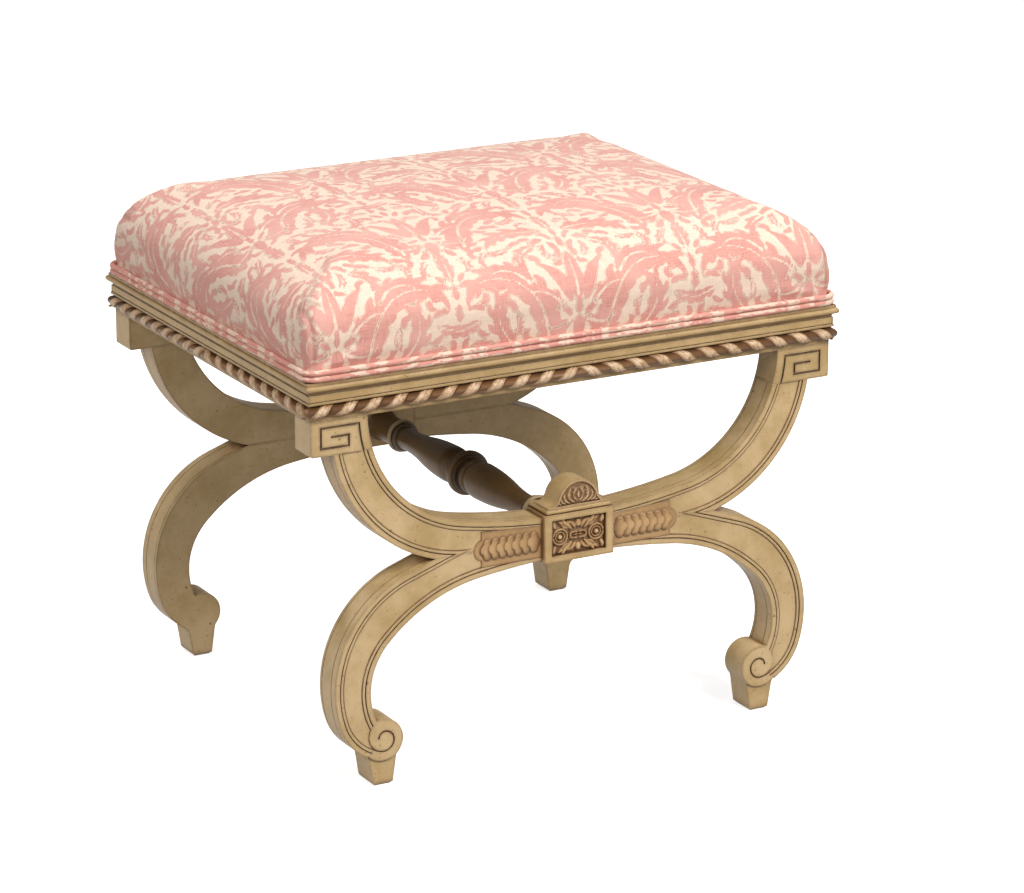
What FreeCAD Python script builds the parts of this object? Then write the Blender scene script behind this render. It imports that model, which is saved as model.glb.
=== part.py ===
import FreeCAD
import Part
import math
import os
import Sketcher

doc = FreeCAD.newDocument("x_frame_stool")

# Driving dimensions of the stool, in millimetres and degrees.
# X runs along the seat, Y from front to back, Z up; the floor is at height 0.
SIZES = {
    # seat frame in plan and the thickness of the two X frames
    "seat_half_length": 283,
    "seat_half_depth": 222.5,
    "frame_thickness": 33,
    # the waist, where arms and legs meet on a flat joint
    "joint_height": 219,
    "waist_rise": 21,
    "waist_drop": 19,
    # upper arms
    "arm_inner_reach": 224,
    "arm_inner_radius": 124,
    "saddle_radius": 650,
    "arm_outer_centre_x": 111.5,
    "arm_outer_rise": 144,
    "arm_outer_radius": 150,
    # legs
    "leg_outer_reach": 261,
    "leg_outer_radius": 115,
    "shoulder_angle": 19,
    "heel_radius": 60,
    "heel_low": 23.8,
    "leg_inner_reach": 223.5,
    "leg_inner_radius": 70,
    "leg_inner_drop": 14.5,
    "leg_blend_radius": 170,
    "arch_radius": 765,
    # inward scroll and square peg at the foot
    "volute_centre_x": 210.5,
    "volute_centre_z": 46.5,
    "volute_radius": 21,
    "volute_turn_radius": 22.5,
    "volute_turn_centre_z": 48,
    "volute_step": 2,
    "volute_groove_width": 1.8,
    "volute_disc_radius": 15,
    "volute_disc_growth": 1.5,
    "bead_stop": 12,
    "foot_centre_x": 210.5,
    "foot_width": 21,
    "foot_top_width": 29,
    "foot_chamfer": 2.5,
    "foot_setback": 2,
    "peg_blend_radius": 8,
    # carved relief on the faces of arms and legs
    "border_width": 5,
    "groove_width": 1.1,
    "bead_width": 2.4,
    "groove_depth": 1.7,
    "bead_depth": 0.4,
    "field_depth": 1.2,
    "side_groove_width": 0.9,
    "side_groove_depth": 0.7,
    "side_groove_front": 9,
    "side_groove_back": 3.5,
    # key blocks under the rail corners
    "arm_height": 119,
    "block_height": 34,
    "key_line_width": 2.2,
    "key_line_depth": 1.8,
    "key_margin_inner": 9.1,
    "key_margin_outer": 10.5,
    "key_margin_top": 6.8,
    "key_margin_bottom": 7.3,
    "key_pitch_across": 10.5,
    "key_pitch_up": 9.5,
    "block_corner_radius": 2,
    # centre blocks with their framed tablets
    "tablet_half_width": 38,
    "tablet_drop": 23,
    "tablet_rise": 25,
    "tablet_proud": 4.5,
    "tablet_side_border": 8.2,
    "tablet_level_border": 6,
    "tablet_recess": 4.5,
    # crest above each tablet
    "cap_half_width": 35.5,
    "cap_height": 5,
    "crest_half_width": 33.5,
    "crest_dome_radius": 22,
    "crest_dome_rise": 4,
    "crest_flare_radius": 11.8,
    "crest_foot_height": 1.5,
    "crest_depth": 28,
    "crest_rim": 2,
    "crest_field_rise": 2,
    "cap_setback": 0.5,
    "cap_round": 2.2,
    "crest_setback": 1.5,
    "crest_rim_depth": 1.5,
    # rosette in each tablet and scale panels beside it
    "rosette_plate": 1.2,
    "carving_clearance": 0.3,
    "rosette_relief": 2.8,
    "rosette_eye_radius": 7,
    "rosette_eye_spacing": 19.5,
    "rosette_leaf_radius": 6.5,
    "rosette_leaf_spacing": 9.5,
    "rosette_bar_half_width": 9.5,
    "rosette_bar_half_height": 3.2,
    "panel_end": 104,
    "panel_drop": 17,
    "panel_side_rise": 14.5,
    "panel_end_rise": 18.5,
    "panel_seat_depth": 1.7,
    "panel_thickness": 1.3,
    "tongue_radius": 10.5,
    "tongue_reach": 8,
    "scale_radius": 10,
    "scale_relief": 1.6,
    "scale_pitch": 8.4,
    "scale_first": 50,
    "scale_count": 7,
    # seat rails
    "rail_height": 39,
    "rail_thickness": 33,
    "rail_step_rise": 17.2,
    "rail_step_height": 2.4,
    "rail_step_reach": 3.4,
    "rail_quirk": 0.6,
    "rail_band_reach": 2.8,
    "rail_band_height": 7,
    "rail_cove_reach": 1.8,
    "rail_cove_radius": 3,
    "rail_bead_start": 4.2,
    "rail_bead_reach": 7.1,
    "rail_bead_radius": 3.2,
    "rail_bead_drop": 5.6,
    "rail_cap_reach": 4.8,
    "mitre_margin": 12,
    # ribbon moulding planted on the rails
    "ribbon_rise": 10.3,
    "ribbon_radius": 6.7,
    "ribbon_reach": 8.2,
    # turned stretcher between the centre blocks
    "tenon_radius": 10,
    "tenon_length": 25,
    "tenon_clearance": 0.2,
    "disc_radius": 23.1,
    "disc_half_width": 3.5,
    "disc_round": 2,
    "disc_step_radius": 19.5,
    "disc_step_width": 3,
    "centre_cove_end": 11.5,
    "centre_cove_radius": 6,
    "waist_radius": 15.5,
    "centre_bead_width": 6,
    "centre_bead_radius": 3.1,
    "bulb_start": 20,
    "bulb_radius": 19,
    "bulb_place": 32,
    "bulb_round_radius": 22,
    "bulb_turn_place": 85,
    "neck_radius": 11.5,
    "neck_from_shoulder": 67.5,
    "neck_end_radius": 12.2,
    "neck_bead_from_shoulder": 55.5,
    "neck_bead_width": 4,
    "neck_bead_radius": 2.4,
    "collar_ring_radius": 17.4,
    "collar_ring_from_shoulder": 49,
    "collar_ring_width": 6,
    "collar_ring_round": 3.2,
    "collar_radius": 14,
    "collar_foot_width": 7.5,
    "collar_foot_radius": 17,
    "collar_foot_round": 11,
    # glued and screwed joints
    "dowel_radius": 4,
    "dowel_length": 30,
    "dowel_clearance": 0.15,
    "dowel_hole_spare": 1,
    "waist_dowel_first": 75,
    "waist_dowel_second": 112,
    "arm_side_dowel_rise": 11,
    "leg_side_dowel_drop": 10,
    "arm_dowel_first_inset": 4,
    "arm_dowel_second_inset": 24,
    "rail_dowel_first_inset": 45,
    "rail_dowel_second_inset": 27,
    "corner_block_leg": 60,
    "corner_block_height": 30,
    "screw_inset": 18,
    "screw_radius": 2,
    "screw_clearance": 0.1,
    "screw_head_radius": 4,
    "screw_head_height": 2.4,
    "screw_length": 37,
    # upholstered seat
    "deck_thickness": 12,
    "deck_inset": 0.5,
    "deck_corner_radius": 14,
    "cover_thickness": 1.5,
    "cover_overlap": 0.2,
    "cover_clearance": 0.3,
    "cover_lift": 0.2,
    "cover_corner_radius": 8.8,
    "seat_waist_rise": 1,
    "seat_bulge": 8,
    "seat_bulge_rise": 26,
    "seat_corner_radius": 18,
    "seat_shoulder_radius": 61,
    "seat_crown_rise": 10,
    "welt_radius": 2.85,
    "welt_clearance": 0.3,
    "welt_corner_radius": 12,
    "dust_cover_thickness": 0.8,
    "dust_cover_lap": 12,
    "dust_cover_clearance": 2,
}

sheet = doc.addObject("Spreadsheet::Sheet", "sizes")
for row, (alias, value) in enumerate(SIZES.items(), start=1):
    cell = "B" + str(row)
    sheet.set("A" + str(row), alias)
    sheet.set(cell, str(value))
    sheet.setAlias(cell, alias)
doc.recompute()


def size(alias):
    """The number that the sheet holds under this name."""
    return float(sheet.get(alias))


# Sub-parts in the order in which they are written, by node name.
pieces = {}


def keep(label, feature):
    """Give a finished piece its label and remember it as a sub-part."""
    feature.Label = label
    pieces[label] = feature
    return feature


def origin_plane(body, role):
    """The body's own origin plane with this role."""
    return [item for item in body.Origin.OriginFeatures if item.Role == role][0]


class Outline:
    """A closed outline in a sketch, drawn edge by edge.

    Each edge starts where the last one ended. Sizes are bound to the sheet as they are added.
    """

    def __init__(self, body, name, role, offset=None):
        self.sketch = body.newObject("Sketcher::SketchObject", name)
        self.sketch.AttachmentSupport = [(origin_plane(body, role), "")]
        self.sketch.MapMode = "FlatFace"
        if offset is not None:
            self.sketch.setExpression(".AttachmentOffset.Base.z", offset)
        self.ends = []
        self.tangent = []

    def line(self, start, end, tangent=False):
        segment = Part.LineSegment(FreeCAD.Vector(*start, 0), FreeCAD.Vector(*end, 0))
        index = self.sketch.addGeometry(segment, False)
        self.ends.append((index, 1, 2))
        self.tangent.append(tangent)
        return index

    def arc(self, centre, radius, start, end, turn, tangent=False):
        """An arc about centre from start to end, anticlockwise where turn is 1."""
        circle = Part.Circle(FreeCAD.Vector(*centre, 0), FreeCAD.Vector(0, 0, 1), radius)
        first = math.atan2(start[1] - centre[1], start[0] - centre[0])
        last = math.atan2(end[1] - centre[1], end[0] - centre[0])
        if turn < 0:
            first, last = last, first
        if last <= first:
            last += 2 * math.pi
        index = self.sketch.addGeometry(Part.ArcOfCircle(circle, first, last), False)
        self.ends.append((index, 1, 2) if turn > 0 else (index, 2, 1))
        self.tangent.append(tangent)
        return index

    def close(self):
        """Join each edge to the next; an edge marked tangent runs smoothly out of the last one."""
        count = len(self.ends)
        for place in range(count):
            index, _, end = self.ends[place]
            following, start, _ = self.ends[(place + 1) % count]
            kind = "Tangent" if self.tangent[(place + 1) % count] else "Coincident"
            self.sketch.addConstraint(Sketcher.Constraint(kind, index, end, following, start))
        return self.sketch

    def bind(self, expression, kind, *target):
        """Add a dimension and bind it to the sheet."""
        value = abs(self.value(expression)) if kind == "Radius" else self.value(expression)
        if kind == "Angle":
            value = math.radians(value)
            expression = "(" + expression + ") * 1 deg"
        place = self.sketch.addConstraint(Sketcher.Constraint(kind, *target, value))
        self.sketch.setExpression("Constraints[" + str(place) + "]", expression)

    @staticmethod
    def value(expression):
        """What an expression over the sheet comes to now."""
        number = sheet.evalExpression(expression.replace("sizes.", ""))
        return float(getattr(number, "Value", number))

    def path(self, points, arcs=None):
        """A closed run through points given as pairs of expressions.

        arcs maps the number of an edge to (radius expression, turn); the other edges are straight.
        """
        arcs = arcs or {}
        spots = [(self.value(across), self.value(up)) for across, up in points]
        first = len(self.ends)
        for number, start in enumerate(spots):
            end = spots[(number + 1) % len(spots)]
            if number in arcs:
                radius, turn = arcs[number]
                reach = self.value(radius)
                half = math.dist(start, end) / 2
                way = unit(start, end)
                rise = math.sqrt(max(reach ** 2 - half ** 2, 0)) * turn
                centre = (start[0] + way[0] * half - way[1] * rise, start[1] + way[1] * half + way[0] * rise)
                self.arc(centre, reach, start, end, turn)
            else:
                self.line(start, end)
        count = len(spots)
        for number, (across, up) in enumerate(points):
            index, start, end = self.ends[first + number]
            following = self.ends[first + (number + 1) % count]
            meeting = Sketcher.Constraint("Coincident", index, end, following[0], following[1])
            self.sketch.addConstraint(meeting)
            self.place(index, start, spots[number], across, up)
            if number in arcs:
                self.bind(arcs[number][0], "Radius", index)
        return self.sketch

    def place(self, index, vertex, spot, across, up):
        """Hold a vertex at a spot given by two expressions."""
        if abs(spot[0]) < 1e-9:
            self.rule("PointOnObject", index, vertex, -2)
        else:
            self.across(index, vertex, across)
        if abs(spot[1]) < 1e-9:
            self.rule("PointOnObject", index, vertex, -1)
        else:
            self.up(index, vertex, up)

    def ring(self, across, up, radius):
        """A circle about a spot given by two expressions."""
        spot = (self.value(across), self.value(up))
        circle = Part.Circle(FreeCAD.Vector(*spot, 0), FreeCAD.Vector(0, 0, 1), self.value(radius))
        index = self.sketch.addGeometry(circle, False)
        self.place(index, 3, spot, across, up)
        self.bind(radius, "Radius", index)
        return self.sketch

    def rule(self, kind, *target):
        self.sketch.addConstraint(Sketcher.Constraint(kind, *target))

    def across(self, edge, vertex, expression):
        """Hold a vertex at this distance from the vertical axis."""
        self.bind(expression, "DistanceX", -1, 1, edge, vertex)

    def up(self, edge, vertex, expression):
        """Hold a vertex at this height over the horizontal axis."""
        self.bind(expression, "DistanceY", -1, 1, edge, vertex)


def unit(start, end):
    """Unit vector from one point to another."""
    length = math.dist(start, end)
    return ((end[0] - start[0]) / length, (end[1] - start[1]) / length)


def along(start, direction, length):
    return (start[0] + direction[0] * length, start[1] + direction[1] * length)


def right_of(centre, radius, height):
    """The point at this height on the right half of a circle."""
    return (centre[0] + math.sqrt(radius ** 2 - (height - centre[1]) ** 2), height)


def meeting(first, first_radius, second, second_radius, side):
    """Where two circles meet; side 1 or -1 picks the point left or right of the way between the centres."""
    apart = math.dist(first, second)
    near = (first_radius ** 2 - second_radius ** 2 + apart ** 2) / (2 * apart)
    off = math.sqrt(first_radius ** 2 - near ** 2) * side
    way = unit(first, second)
    return (first[0] + way[0] * near - way[1] * off, first[1] + way[1] * near + way[0] * off)


def extrude(body, kind, name, sketch, length):
    """A Pad or Pocket of a sketch, its length bound to the sheet."""
    feature = body.newObject("PartDesign::" + kind, name)
    feature.Profile = sketch
    feature.setExpression("Length", length)
    return feature


# Heights and places used by more than one piece, as expressions over the sheet
WAIST_TOP = "(sizes.joint_height + sizes.waist_rise)"
WAIST_BOTTOM = "(sizes.joint_height - sizes.waist_drop)"
ARM_OUTER_Z = "(sizes.joint_height + sizes.arm_outer_rise)"
LEG_INNER_Z = "(sizes.joint_height / 2 - sizes.leg_inner_drop)"
BLOCK_BOTTOM = "(sizes.joint_height + sizes.arm_height)"
RAIL_BOTTOM = "(" + BLOCK_BOTTOM + " + sizes.block_height)"
RAIL_STEP_BOTTOM = "(" + RAIL_BOTTOM + " + sizes.rail_step_rise)"
RAIL_STEP_TOP = "(" + RAIL_STEP_BOTTOM + " + sizes.rail_step_height)"
RAIL_BAND_TOP = "(" + RAIL_STEP_TOP + " + sizes.rail_band_height)"
RAIL_TOP = "(" + RAIL_BOTTOM + " + sizes.rail_height)"
BEAD_CENTRE = "(" + RAIL_TOP + " - sizes.rail_bead_drop)"
RIBBON_CENTRE = "(" + RAIL_BOTTOM + " + sizes.ribbon_rise)"
CORNER_BLOCK_BOTTOM = "(" + RAIL_TOP + " - sizes.corner_block_height)"
TABLET_BOTTOM = "(sizes.joint_height - sizes.tablet_drop)"
TABLET_TOP = "(sizes.joint_height + sizes.tablet_rise)"
ROSETTE_CENTRE = "((" + TABLET_TOP + " + " + TABLET_BOTTOM + ") / 2)"
DOME_CENTRE = "(" + TABLET_TOP + " + sizes.cap_height + sizes.crest_dome_rise)"
SHOULDER = "(sizes.seat_half_depth - sizes.frame_thickness)"
BACK_PLANE = SHOULDER
NECK_PLACE = "(" + SHOULDER + " - sizes.neck_from_shoulder)"
NECK_BEAD_PLACE = "(" + SHOULDER + " - sizes.neck_bead_from_shoulder)"
COLLAR_RING_PLACE = "(" + SHOULDER + " - sizes.collar_ring_from_shoulder)"
SEAT_WAIST = "(" + RAIL_TOP + " + sizes.deck_thickness + sizes.seat_waist_rise)"
SEAT_BULGE = "(" + SEAT_WAIST + " + sizes.seat_bulge_rise)"
SEAT_CROWN = "(" + SEAT_BULGE + " + sizes.seat_shoulder_radius + sizes.seat_crown_rise)"
FRONT_PLANE = "sizes.seat_half_depth"
CROTCH_X = ("sizes.arm_outer_centre_x + sqrt(sizes.arm_outer_radius ^ 2"
            " - (" + ARM_OUTER_Z + " - sizes.joint_height) ^ 2)")
BEAD_EDGE = "sizes.border_width + sizes.groove_width"
INNER_GROOVE_EDGE = BEAD_EDGE + " + sizes.bead_width"
FIELD_EDGE = INNER_GROOVE_EDGE + " + sizes.groove_width"


# The X frames: curved arms above a flat joint, curved legs below it.
# Each frame member is drawn for the front right quarter and mirrored to the others.

def arm_curves(rim):
    """Centres, radii and key points of an arm's edges, drawn in by rim."""
    curve = {}
    curve["saddle"] = (0, Outline.value(WAIST_TOP) + size("saddle_radius"))
    curve["saddle_radius"] = size("saddle_radius") + rim
    inner_x = size("arm_inner_reach") - size("arm_inner_radius")
    centres = size("saddle_radius") - size("arm_inner_radius")
    curve["inner"] = (inner_x, curve["saddle"][1] - math.sqrt(centres ** 2 - inner_x ** 2))
    curve["inner_radius"] = size("arm_inner_radius") + rim
    curve["outer"] = (size("arm_outer_centre_x"), Outline.value(ARM_OUTER_Z))
    curve["outer_radius"] = size("arm_outer_radius") - rim
    curve["blend"] = along(curve["saddle"], unit(curve["saddle"], curve["inner"]), curve["saddle_radius"])
    return curve


def shoulder_foot(rim, height):
    """Where the leg's shoulder line, drawn in by rim, crosses this height."""
    slope = math.radians(size("shoulder_angle"))
    run = (size("joint_height") - height) / math.tan(slope)
    return (Outline.value(CROTCH_X) - rim / math.sin(slope) + run, height)


def arm_outline(body, name, offset, inset="0", relief=False, over=0):
    """An arm's outline drawn in by inset; relief gives the carved field's outline with its pointed end."""
    rim = Outline.value(inset)
    curve = arm_curves(rim)
    top = Outline.value(BLOCK_BOTTOM) + over
    joint = size("joint_height") - over
    side = size("tablet_half_width") - over
    outline = Outline(body, name, "XZ_Plane", offset)
    top_inner = right_of(curve["inner"], curve["inner_radius"], top)
    top_outer = right_of(curve["outer"], curve["outer_radius"], top)
    side_top = (side, curve["saddle"][1] - math.sqrt(curve["saddle_radius"] ** 2 - side ** 2))
    head = outline.line(top_inner, top_outer)
    if relief:
        slope = math.radians(size("shoulder_angle"))
        foot = shoulder_foot(rim, joint)
        way = (-math.cos(slope), math.sin(slope))
        near = (curve["outer"][0] - foot[0]) * way[0] + (curve["outer"][1] - foot[1]) * way[1]
        off = math.dist(foot, curve["outer"]) ** 2 - near ** 2
        point = along(foot, way, near - math.sqrt(curve["outer_radius"] ** 2 - off))
        outer = outline.arc(curve["outer"], curve["outer_radius"], top_outer, point, -1)
        outline.line(point, foot)
    else:
        foot = right_of(curve["outer"], curve["outer_radius"], joint)
        outer = outline.arc(curve["outer"], curve["outer_radius"], top_outer, foot, -1)
    seat = outline.line(foot, (side, joint))
    end = outline.line((side, joint), side_top)
    saddle = outline.arc(curve["saddle"], curve["saddle_radius"], side_top, curve["blend"], 1)
    inner = outline.arc(curve["inner"], curve["inner_radius"], curve["blend"], top_inner, 1, tangent=True)
    sketch = outline.close()
    outline.rule("Horizontal", head)
    outline.rule("Horizontal", seat)
    outline.rule("Vertical", end)
    outline.bind("sizes.arm_outer_radius - (" + inset + ")", "Radius", outer)
    outline.across(outer, 3, "sizes.arm_outer_centre_x")
    outline.up(outer, 3, ARM_OUTER_Z)
    outline.bind("sizes.saddle_radius + " + inset, "Radius", saddle)
    outline.rule("PointOnObject", saddle, 3, -2)
    outline.up(saddle, 3, WAIST_TOP + " + sizes.saddle_radius")
    outline.bind("sizes.arm_inner_radius + " + inset, "Radius", inner)
    outline.across(inner, 3, "sizes.arm_inner_reach - sizes.arm_inner_radius")
    outline.up(head, 1, BLOCK_BOTTOM + " + " + str(over))
    outline.up(seat, 2, "sizes.joint_height - " + str(over))
    outline.across(end, 1, "sizes.tablet_half_width - " + str(over))
    if relief:
        outline.across(seat, 1, CROTCH_X + " - (" + inset + ") / sin(sizes.shoulder_angle)"
                       " + " + str(over) + " / tan(sizes.shoulder_angle)")
    return sketch


def layered_body(name, outline):
    """Pads stacked from the inner face to the carved face, with two thin grooved layers along the edges."""
    body = doc.addObject("PartDesign::Body", name)
    gap = "sizes.side_groove_width"
    middle = ("sizes.frame_thickness - sizes.side_groove_back - sizes.side_groove_front"
              " - 2 * sizes.side_groove_width")
    layers = [
        ("back_edge", "0", "sizes.side_groove_back"),
        ("back_groove", "sizes.side_groove_depth", gap),
        ("middle", "0", middle),
        ("front_groove", "sizes.side_groove_depth", gap),
        ("front_edge", "0", "sizes.side_groove_front"),
    ]
    place = BACK_PLANE
    for layer, inset, length in layers:
        sketch = outline(body, name + "_" + layer + "_outline", place, inset)
        extrude(body, "Pad", name + "_" + layer, sketch, length)
        place = place + " + " + length
    return body


def carve_relief(body, name, outline):
    """Border groove, bead and sunk field in the face, all following the edges."""
    over = 1
    groove_floor = FRONT_PLANE + " - sizes.groove_depth"
    sketch = outline(body, name + "_border_outline", FRONT_PLANE, "sizes.border_width", True, over)
    extrude(body, "Pocket", name + "_border_groove", sketch, "sizes.groove_depth")
    sketch = outline(body, name + "_bead_outline", groove_floor, BEAD_EDGE, True, 0)
    extrude(body, "Pad", name + "_bead", sketch, "sizes.groove_depth - sizes.bead_depth")
    sketch = outline(body, name + "_inner_groove_outline", FRONT_PLANE, INNER_GROOVE_EDGE, "tail", over)
    extrude(body, "Pocket", name + "_inner_groove", sketch, "sizes.groove_depth")
    sketch = outline(body, name + "_field_outline", groove_floor, FIELD_EDGE, True, 0)
    extrude(body, "Pad", name + "_field", sketch, "sizes.groove_depth - sizes.field_depth")


def leg_curves(rim):
    """Centres, radii and key points of a leg's edges, drawn in by rim."""
    curve = {}
    slope = math.radians(size("shoulder_angle"))
    crotch = (Outline.value(CROTCH_X), size("joint_height"))
    reach = size("leg_outer_radius")
    outer_x = size("leg_outer_reach") - reach
    outer_z = crotch[1] + ((crotch[0] - outer_x) * math.sin(slope) - reach) / math.cos(slope)
    curve["outer"] = (outer_x, outer_z)
    curve["outer_radius"] = reach - rim
    curve["shoulder"] = along(curve["outer"], (math.sin(slope), math.cos(slope)), curve["outer_radius"])
    heel_z = size("heel_low") + size("heel_radius")
    heel_x = outer_x + math.sqrt((reach - size("heel_radius")) ** 2 - (outer_z - heel_z) ** 2)
    curve["heel"] = (heel_x, heel_z)
    curve["heel_radius"] = size("heel_radius") - rim
    curve["calf"] = along(curve["outer"], unit(curve["outer"], curve["heel"]), curve["outer_radius"])
    curve["inner"] = (size("leg_inner_reach") - size("leg_inner_radius"), Outline.value(LEG_INNER_Z))
    curve["inner_radius"] = size("leg_inner_radius") + rim
    curve["arch"] = (0, Outline.value(WAIST_BOTTOM) - size("arch_radius"))
    curve["arch_radius"] = size("arch_radius") + rim
    curve["blend"] = meeting(curve["inner"], size("leg_blend_radius") - size("leg_inner_radius"),
                             curve["arch"], size("arch_radius") - size("leg_blend_radius"), -1)
    curve["blend_radius"] = size("leg_blend_radius") + rim
    curve["knee"] = along(curve["blend"], unit(curve["blend"], curve["inner"]), curve["blend_radius"])
    curve["waist"] = along(curve["arch"], unit(curve["arch"], curve["blend"]), curve["arch_radius"])
    curve["volute"] = (size("volute_centre_x"), size("volute_centre_z"))
    return curve


def peg_blend(centre, reach, sole_x, top_x):
    """The small arc between a side of the peg and the round above it: its centre and both ends."""
    radius = size("peg_blend_radius")
    side = 1 if top_x > sole_x else -1
    low, high = 0, centre[1]
    for _ in range(60):
        height = (low + high) / 2
        way = unit((sole_x, size("foot_chamfer")), (top_x, height))
        middle = (top_x + side * way[1] * radius, height - side * way[0] * radius)
        if math.dist(middle, centre) > reach + radius:
            low = height
        else:
            high = height
    return middle, (top_x, height), along(centre, unit(centre, middle), reach)


def finish_leg(outline, curve, inset, over, edges):
    """The inner edge from the volute up to the waist, closed along the joint, with its dimensions."""
    side = size("tablet_half_width") - over
    side_low = (side, curve["arch"][1] + math.sqrt(curve["arch_radius"] ** 2 - side ** 2))
    inner = outline.arc(curve["inner"], curve["inner_radius"], edges["ankle"], curve["knee"], 1)
    blend = outline.arc(curve["blend"], curve["blend_radius"], curve["knee"], curve["waist"], 1, tangent=True)
    arch = outline.arc(curve["arch"], curve["arch_radius"], curve["waist"], side_low, 1, tangent=True)
    end = outline.line(side_low, (side, size("joint_height") + over))
    sketch = outline.close()
    outline.rule("Horizontal", edges["joint"])
    outline.rule("Vertical", end)
    outline.bind("sizes.leg_outer_radius - (" + inset + ")", "Radius", edges["outer"])
    outline.bind("sizes.heel_radius - (" + inset + ")", "Radius", edges["heel"])
    outline.up(edges["heel"], 3, "sizes.heel_low + sizes.heel_radius")
    outline.across(edges["outer"], 3, "sizes.leg_outer_reach - sizes.leg_outer_radius")
    outline.bind("sizes.leg_inner_radius + " + inset, "Radius", inner)
    outline.across(inner, 3, "sizes.leg_inner_reach - sizes.leg_inner_radius")
    outline.up(inner, 3, LEG_INNER_Z)
    outline.bind("sizes.leg_blend_radius + " + inset, "Radius", blend)
    outline.bind("sizes.arch_radius + " + inset, "Radius", arch)
    outline.rule("PointOnObject", arch, 3, -2)
    outline.up(arch, 3, WAIST_BOTTOM + " - sizes.arch_radius")
    outline.up(edges["joint"], 1, "sizes.joint_height + " + str(over))
    outline.across(end, 2, "sizes.tablet_half_width - " + str(over))
    outline.across(edges["joint"], 2, CROTCH_X + " - (" + inset + ") / sin(sizes.shoulder_angle)"
                   " - " + str(over) + " / tan(sizes.shoulder_angle)")
    return sketch


def leg_outline(body, name, offset, inset="0"):
    """A leg's outline drawn in by inset, with its volute and peg foot."""
    rim = Outline.value(inset)
    curve = leg_curves(rim)
    joint = size("joint_height")
    side = size("tablet_half_width")
    outline = Outline(body, name, "XZ_Plane", offset)
    crotch = shoulder_foot(rim, joint)
    half_top = size("foot_top_width") / 2
    half_foot = size("foot_width") / 2
    chamfer = size("foot_chamfer")
    foot_x = size("foot_centre_x")
    outer_x = foot_x + half_top
    heel = curve["heel"]
    outer_blend, peg_outer, heel_end = peg_blend(heel, curve["heel_radius"], foot_x + half_foot, outer_x)
    volute = curve["volute"]
    round_radius = size("volute_radius")
    inner_x = foot_x - half_top
    inner_blend, peg_inner, scroll_end = peg_blend(volute, round_radius, foot_x - half_foot, inner_x)
    blend_radius = size("peg_blend_radius")
    edges = {}
    edges["joint"] = outline.line((side, joint), crotch)
    edges["shoulder"] = outline.line(crotch, curve["shoulder"])
    edges["outer"] = outline.arc(curve["outer"], curve["outer_radius"], curve["shoulder"], curve["calf"], -1,
                                 tangent=True)
    edges["heel"] = outline.arc(heel, curve["heel_radius"], curve["calf"], heel_end, -1, tangent=True)
    outer_arc = outline.arc(outer_blend, blend_radius, heel_end, peg_outer, 1, tangent=True)
    outer_side = outline.line(peg_outer, (foot_x + half_foot, chamfer), tangent=True)
    outline.line((foot_x + half_foot, chamfer), (foot_x + half_foot - chamfer, 0))
    sole = outline.line((foot_x + half_foot - chamfer, 0), (foot_x - half_foot + chamfer, 0))
    outline.line((foot_x - half_foot + chamfer, 0), (foot_x - half_foot, chamfer))
    inner_side = outline.line((foot_x - half_foot, chamfer), peg_inner)
    inner_arc = outline.arc(inner_blend, blend_radius, peg_inner, scroll_end, 1, tangent=True)
    edges["ankle"] = meeting(volute, round_radius, curve["inner"], curve["inner_radius"], -1)
    scroll = outline.arc(volute, round_radius, scroll_end, edges["ankle"], -1, tangent=True)
    sketch = finish_leg(outline, curve, inset, 0, edges)
    outline.rule("PointOnObject", sole, 1, -1)
    outline.rule("PointOnObject", sole, 2, -1)
    outline.across(sole, 1, "sizes.foot_centre_x + sizes.foot_width / 2 - sizes.foot_chamfer")
    outline.across(sole, 2, "sizes.foot_centre_x - sizes.foot_width / 2 + sizes.foot_chamfer")
    outline.across(outer_side, 2, "sizes.foot_centre_x + sizes.foot_width / 2")
    outline.up(outer_side, 2, "sizes.foot_chamfer")
    outline.across(inner_side, 1, "sizes.foot_centre_x - sizes.foot_width / 2")
    outline.up(inner_side, 1, "sizes.foot_chamfer")
    outline.across(outer_side, 1, "sizes.foot_centre_x + sizes.foot_top_width / 2")
    outline.across(inner_side, 2, "sizes.foot_centre_x - sizes.foot_top_width / 2")
    outline.bind("sizes.peg_blend_radius", "Radius", outer_arc)
    outline.bind("sizes.peg_blend_radius", "Radius", inner_arc)
    outline.bind("sizes.volute_radius", "Radius", scroll)
    outline.across(scroll, 3, "sizes.volute_centre_x")
    outline.up(scroll, 3, "sizes.volute_centre_z")
    return sketch


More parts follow.
